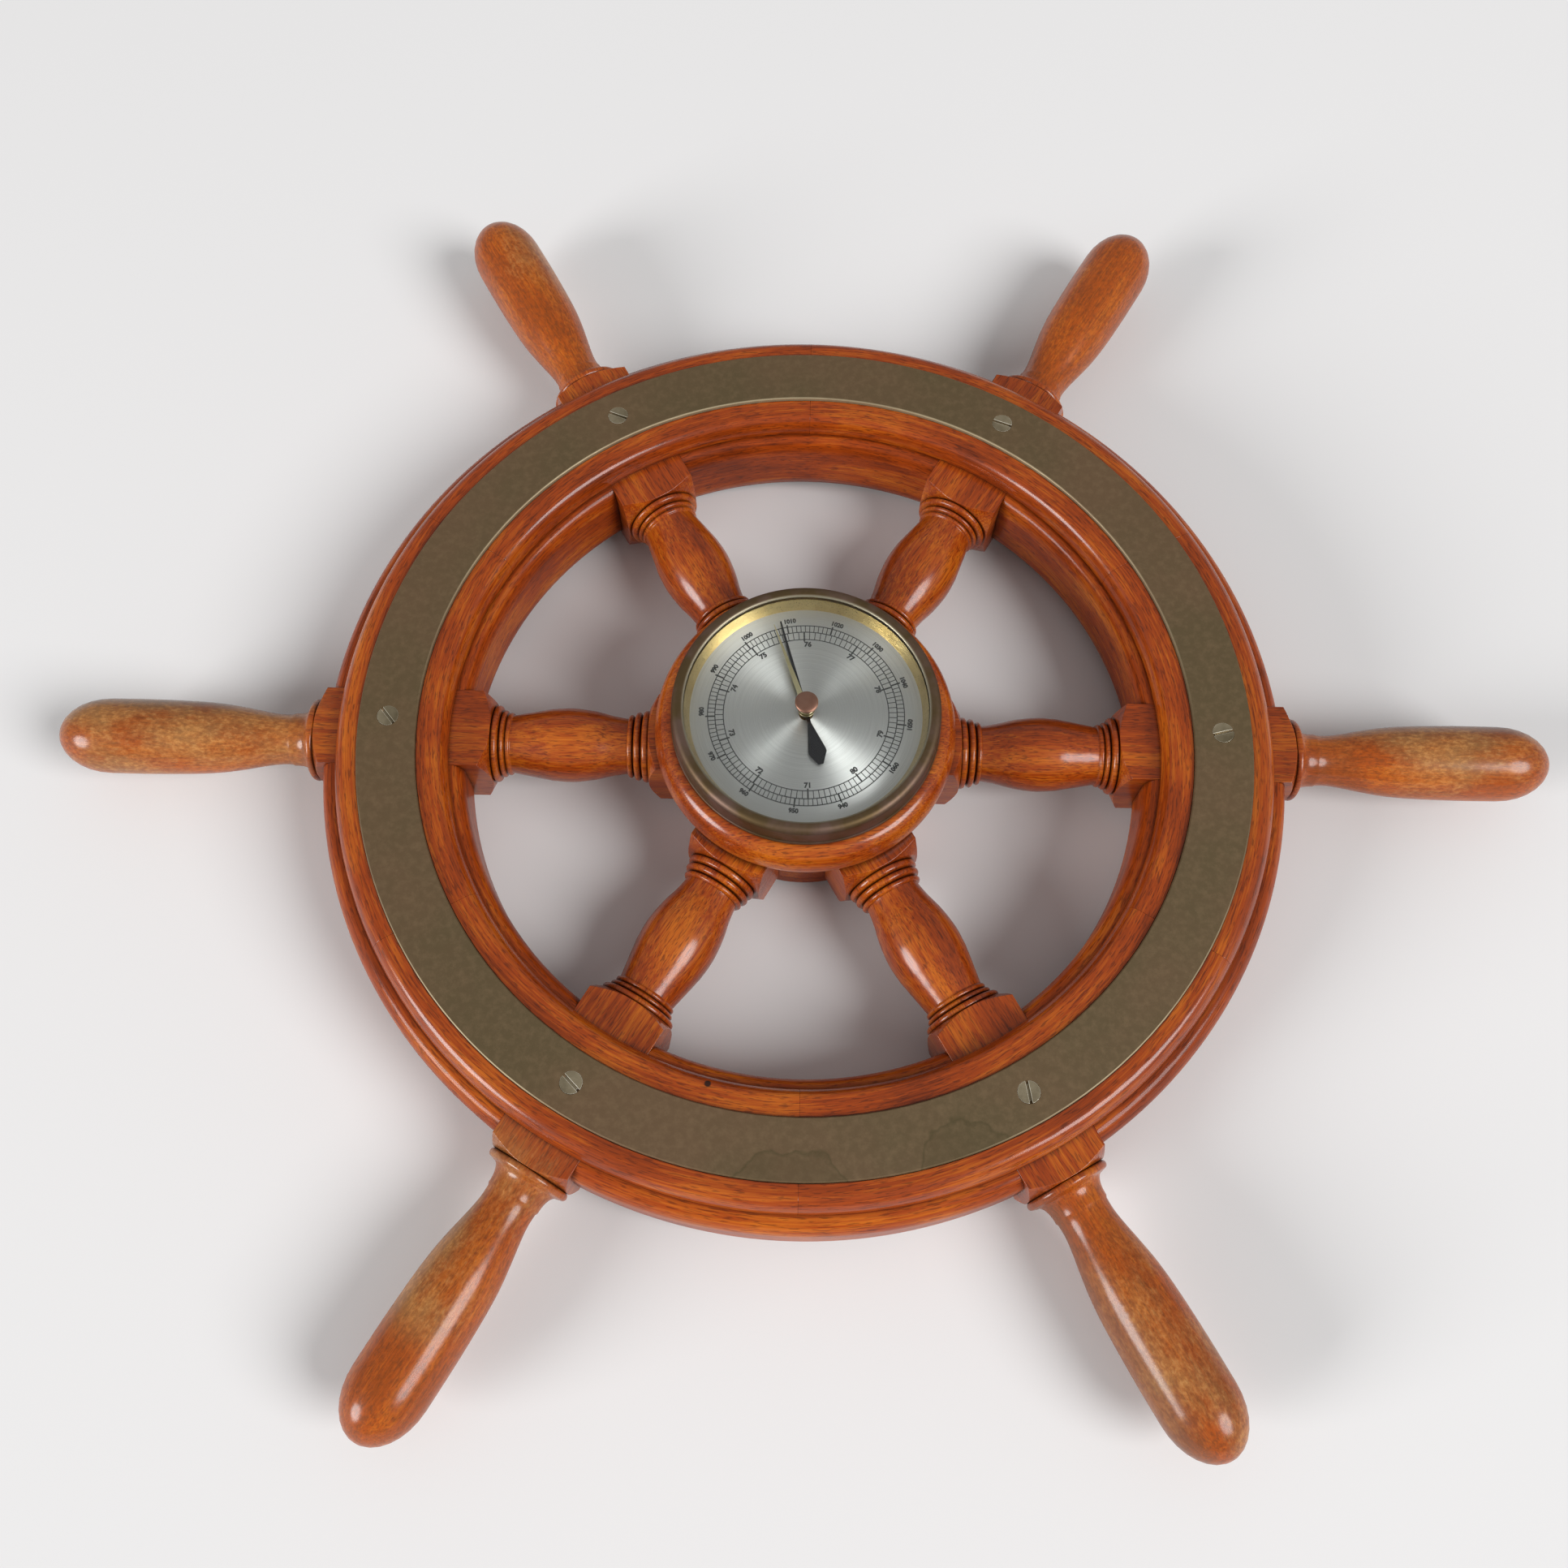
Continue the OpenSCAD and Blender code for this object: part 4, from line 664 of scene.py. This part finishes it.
def windowGlass(name):
    look = glassLook
    material, tree = newMaterial(name)
    solid = addNode(tree, "ShaderNodeBsdfPrincipled", {
        "Base Color": look["clear"], "Roughness": 0.0, "IOR": look["ior"],
        "Transmission Weight": 1.0})
    clear = addNode(tree, "ShaderNodeBsdfTransparent", {0: look["shadow"]})
    shadow = addNode(tree, "ShaderNodeLightPath").outputs["Is Shadow Ray"]
    both = addNode(tree, "ShaderNodeMixShader", {
        0: shadow, 1: solid.outputs[0], 2: clear.outputs[0]})
    addNode(tree, "ShaderNodeOutputMaterial", {0: both.outputs[0]})
    return material


paint(["glass"], windowGlass("clear_glass"))
print("metal and glass done")


# Dial print, thin black ink: two scales with plain numbers, the words' place is bare

printLook = {
    "ink": "0d0d0c", "faded": "30302c", "fadeMask": [(0.40, 0.0), (0.70, 0.5)],
    "fadeScale": 1500.0, "fadeDetail": 2.0,    # patches of 0.7 mm
    "roughness": 0.55, "ior": 1.5, "thickness": 0.03 * mm,
    # sizes in mm and angles in degrees
    "circles": (24.8, 27.3, 29.5), "circleWidth": 0.3, "circleSteps": 144,
    "tickWidth": 0.24, "longTickWidth": 0.48, "longTick": 0.7, "longEvery": 10,
    "fontOffset": 0.12, "fontSteps": 3,
}
# each scale: its ticks' radii, which way a long tick goes, the first angle, the step, the first and
# last step, and the numbers' radius and size
scales = {
    "millibar": {"ticks": (27.3, 29.5), "longEnd": 1, "start": -69, "step": 2.7,
                 "steps": (-5, 126), "numberRadius": 31.3, "numberSize": 1.9, "numbers": {
                     "940": -69, "950": -96, "960": 235, "970": 207.4, "980": 180, "990": 153,
                     "1000": 126, "1010": 100, "1020": 73, "1030": 46.6, "1040": 20.6,
                     "1050": -5.6, "1060": -33}},
    "centimetre": {"ticks": (24.8, 27.3), "longEnd": 0, "start": -88, "step": 3.6,
                   "steps": (-5, 96), "numberRadius": 23.1, "numberSize": 2.2, "numbers": {
                       "71": 272, "72": 234, "73": 197, "74": 160, "75": 125, "76": 89.4,
                       "77": 55, "78": 21.4, "79": -15.4, "80": -51.4}},
}
# numbers between these two angles stand on their heads, to be read from below
flippedFrom, flippedTo = 185, 355


def printInk(name):
    look = printLook
    material, tree = newMaterial(name)
    place = addNode(tree, "ShaderNodeTexCoord").outputs["Object"]
    fade = addNode(tree, "ShaderNodeTexNoise", {
        "Vector": place, "Scale": look["fadeScale"], "Detail": look["fadeDetail"]}).outputs["Fac"]
    mask = addNode(tree, "ShaderNodeValToRGB", {0: fade}, look["fadeMask"]).outputs[0]
    colour = addNode(tree, "ShaderNodeMix", {0: mask, 6: look["ink"], 7: look["faded"]},
                     data_type="RGBA").outputs[2]
    shader = addNode(tree, "ShaderNodeBsdfPrincipled", {
        "Base Color": colour, "Roughness": look["roughness"], "IOR": look["ior"]})
    addNode(tree, "ShaderNodeOutputMaterial", {0: shader.outputs[0]})
    return material


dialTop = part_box("dial")[1].z
printMiddle = dialTop + printLook["thickness"] / 2
inkMaterial = printInk("black_ink")


def finishPrint(name, bm):
    piece = addObject(name, meshFrom(name, bm))
    piece.data.materials.append(inkMaterial)
    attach(piece, "wheel")


def addCircleLine(bm, middle):
    # a flat band round the dial's axis; a spin would give its faces in another order each run
    inner, outer = [(middle + side * printLook["circleWidth"] / 2) * mm for side in (-1, 1)]
    low, high = dialTop, dialTop + printLook["thickness"]
    steps = printLook["circleSteps"]
    loops = []
    for i in range(steps):
        turn = Matrix.Rotation(2 * math.pi * i / steps, 4, "Z")
        loops.append([bm.verts.new(turn @ Vector((x, 0, z))) for x, z in (
            (inner, low), (outer, low), (outer, high), (inner, high))])
    for i in range(steps):
        loop, after = loops[i], loops[(i + 1) % steps]
        for j in range(4):
            bm.faces.new((loop[j], after[j], after[(j + 1) % 4], loop[(j + 1) % 4]))


def addTick(bm, inner, outer, width, angle):
    made = bmesh.ops.create_cube(bm, size=1.0)["verts"]
    middle = (inner + outer) / 2 * mm
    bmesh.ops.transform(bm, verts=made, matrix=(
        Matrix.Rotation(math.radians(angle), 4, "Z")
        @ Matrix.Translation((middle, 0, printMiddle))
        @ Matrix.Diagonal(((outer - inner) * mm, width * mm, printLook["thickness"], 1))))


def addNumber(bm, text, size, away, angle):
    curve = bpy.data.curves.new("number_" + text, "FONT")
    curve.body = text
    curve.size = size * mm
    curve.align_x = "CENTER"
    curve.align_y = "CENTER"
    curve.extrude = printLook["thickness"] / 2
    curve.offset = printLook["fontOffset"] * mm
    curve.resolution_u = printLook["fontSteps"]
    holder = addObject("number_" + text, curve)
    bpy.context.view_layer.update()
    view = bpy.context.evaluated_depsgraph_get()
    mesh = bpy.data.meshes.new_from_object(holder.evaluated_get(view))
    bpy.data.objects.remove(holder)
    turn = angle + 90 if flippedFrom <= angle % 360 <= flippedTo else angle - 90
    x, y = away * mm * math.cos(math.radians(angle)), away * mm * math.sin(math.radians(angle))
    mesh.transform(Matrix.Translation((x, y, printMiddle))
                   @ Matrix.Rotation(math.radians(turn), 4, "Z"))
    bm.from_mesh(mesh)
    bpy.data.meshes.remove(mesh)


circleMesh = bmesh.new()
for middle in printLook["circles"]:
    addCircleLine(circleMesh, middle)
finishPrint("scale_circles", circleMesh)

tickMesh = bmesh.new()
for scale in scales.values():
    for step in range(*scale["steps"]):
        ends, width = list(scale["ticks"]), printLook["tickWidth"]
        if step % printLook["longEvery"] == 0:
            outward = 1 if scale["longEnd"] else -1
            ends[scale["longEnd"]] += outward * printLook["longTick"]
            width = printLook["longTickWidth"]
        addTick(tickMesh, *ends, width, scale["start"] - step * scale["step"])
finishPrint("scale_ticks", tickMesh)

numberMesh = bmesh.new()
for scale in scales.values():
    for text, angle in scale["numbers"].items():
        addNumber(numberMesh, text, scale["numberSize"], scale["numberRadius"], angle)
bmesh.ops.remove_doubles(numberMesh, verts=numberMesh.verts, dist=copyLook["merge"])
finishPrint("scale_numbers", numberMesh)
print("dial print done")


# Floor, lamps and camera

stageLook = {
    "floor": "e4e3e3", "floorSize": 12.0, "floorRoughness": 0.9, "floorIor": 1.45,
    "floorSpecular": 0.1, "floorGap": 0.3 * mm,
    "world": "ffffff", "worldStrength": 0.34, "sky": "e9e8e7",
}


# Board painted matt: it shows the shadow and no gloss
def floorMaterial(name):
    look = stageLook
    material, tree = newMaterial(name)
    shader = addNode(tree, "ShaderNodeBsdfPrincipled", {
        "Base Color": look["floor"], "Roughness": look["floorRoughness"],
        "IOR": look["floorIor"], "Specular IOR Level": look["floorSpecular"]})
    addNode(tree, "ShaderNodeOutputMaterial", {0: shader.outputs[0]})
    return material


floorMesh = bmesh.new()
bmesh.ops.create_grid(floorMesh, x_segments=1, y_segments=1, size=stageLook["floorSize"] / 2)
bmesh.ops.translate(floorMesh, verts=floorMesh.verts,
                    vec=(0, 0, cadBox[0].z - stageLook["floorGap"]))
floor = addObject("floor", meshFrom("floor", floorMesh))
floor.data.materials.append(floorMaterial("pale_floor"))

# the camera sees a plain sky, and the object is lit by a dimmer one
world = bpy.data.worlds.new("studio")
bpy.context.scene.world = world
world.use_nodes = True
worldTree = world.node_tree
worldTree.nodes.clear()
glow = addNode(worldTree, "ShaderNodeBackground", {
    0: stageLook["world"], 1: stageLook["worldStrength"]})
sky = addNode(worldTree, "ShaderNodeBackground", {0: stageLook["sky"], 1: 1.0})
seen = addNode(worldTree, "ShaderNodeLightPath").outputs["Is Camera Ray"]
both = addNode(worldTree, "ShaderNodeMixShader", {0: seen, 1: glow.outputs[0], 2: sky.outputs[0]})
addNode(worldTree, "ShaderNodeOutputWorld", {0: both.outputs[0]})

# round white softboxes: (azimuth, elevation, distance, diameter, power)
lampLook = {
    "right_softbox": (-30, 40, 6.0, 3.2, 278.0),
    "left_softbox": (-151, 22, 6.0, 2.8, 268.0),
}
for name, (azimuth, elevation, away, size, power) in lampLook.items():
    data = bpy.data.lights.new(name, "AREA")
    data.shape = "DISK"
    data.size = size
    data.energy = power
    lamp = addObject(name, data)
    a, e = math.radians(azimuth), math.radians(elevation)
    towards = Vector((math.cos(e) * math.cos(a), math.cos(e) * math.sin(a), math.sin(e)))
    lamp.location = towards * away
    lamp.rotation_euler = (-lamp.location).to_track_quat("-Z", "Y").to_euler()

# the photograph's own camera, solved from the ring's circles and the handles
cameraLook = {
    "place": (-6.17 * mm, -186.23 * mm, 461.61 * mm), "elevation": 68.46, "roll": 1.18,
    "lens": 34.77, "sensor": 36.0, "near": 0.02,
}
cameraData = bpy.data.cameras.new("camera")
cameraData.lens = cameraLook["lens"]
cameraData.sensor_width = cameraLook["sensor"]
cameraData.sensor_fit = "HORIZONTAL"
cameraData.clip_start = cameraLook["near"]
camera = addObject("camera", cameraData)
e, r = math.radians(cameraLook["elevation"]), math.radians(cameraLook["roll"])
level, upright = Vector((1, 0, 0)), Vector((0, math.sin(e), math.cos(e)))
right = level * math.cos(r) + upright * math.sin(r)
up = upright * math.cos(r) - level * math.sin(r)
back = Vector((0, -math.cos(e), math.sin(e)))
turned = Matrix((right, up, back)).transposed().to_4x4()
camera.matrix_world = Matrix.Translation(cameraLook["place"]) @ turned
bpy.context.scene.camera = camera
bpy.context.scene.view_settings.view_transform = "Standard"
print("stage done")
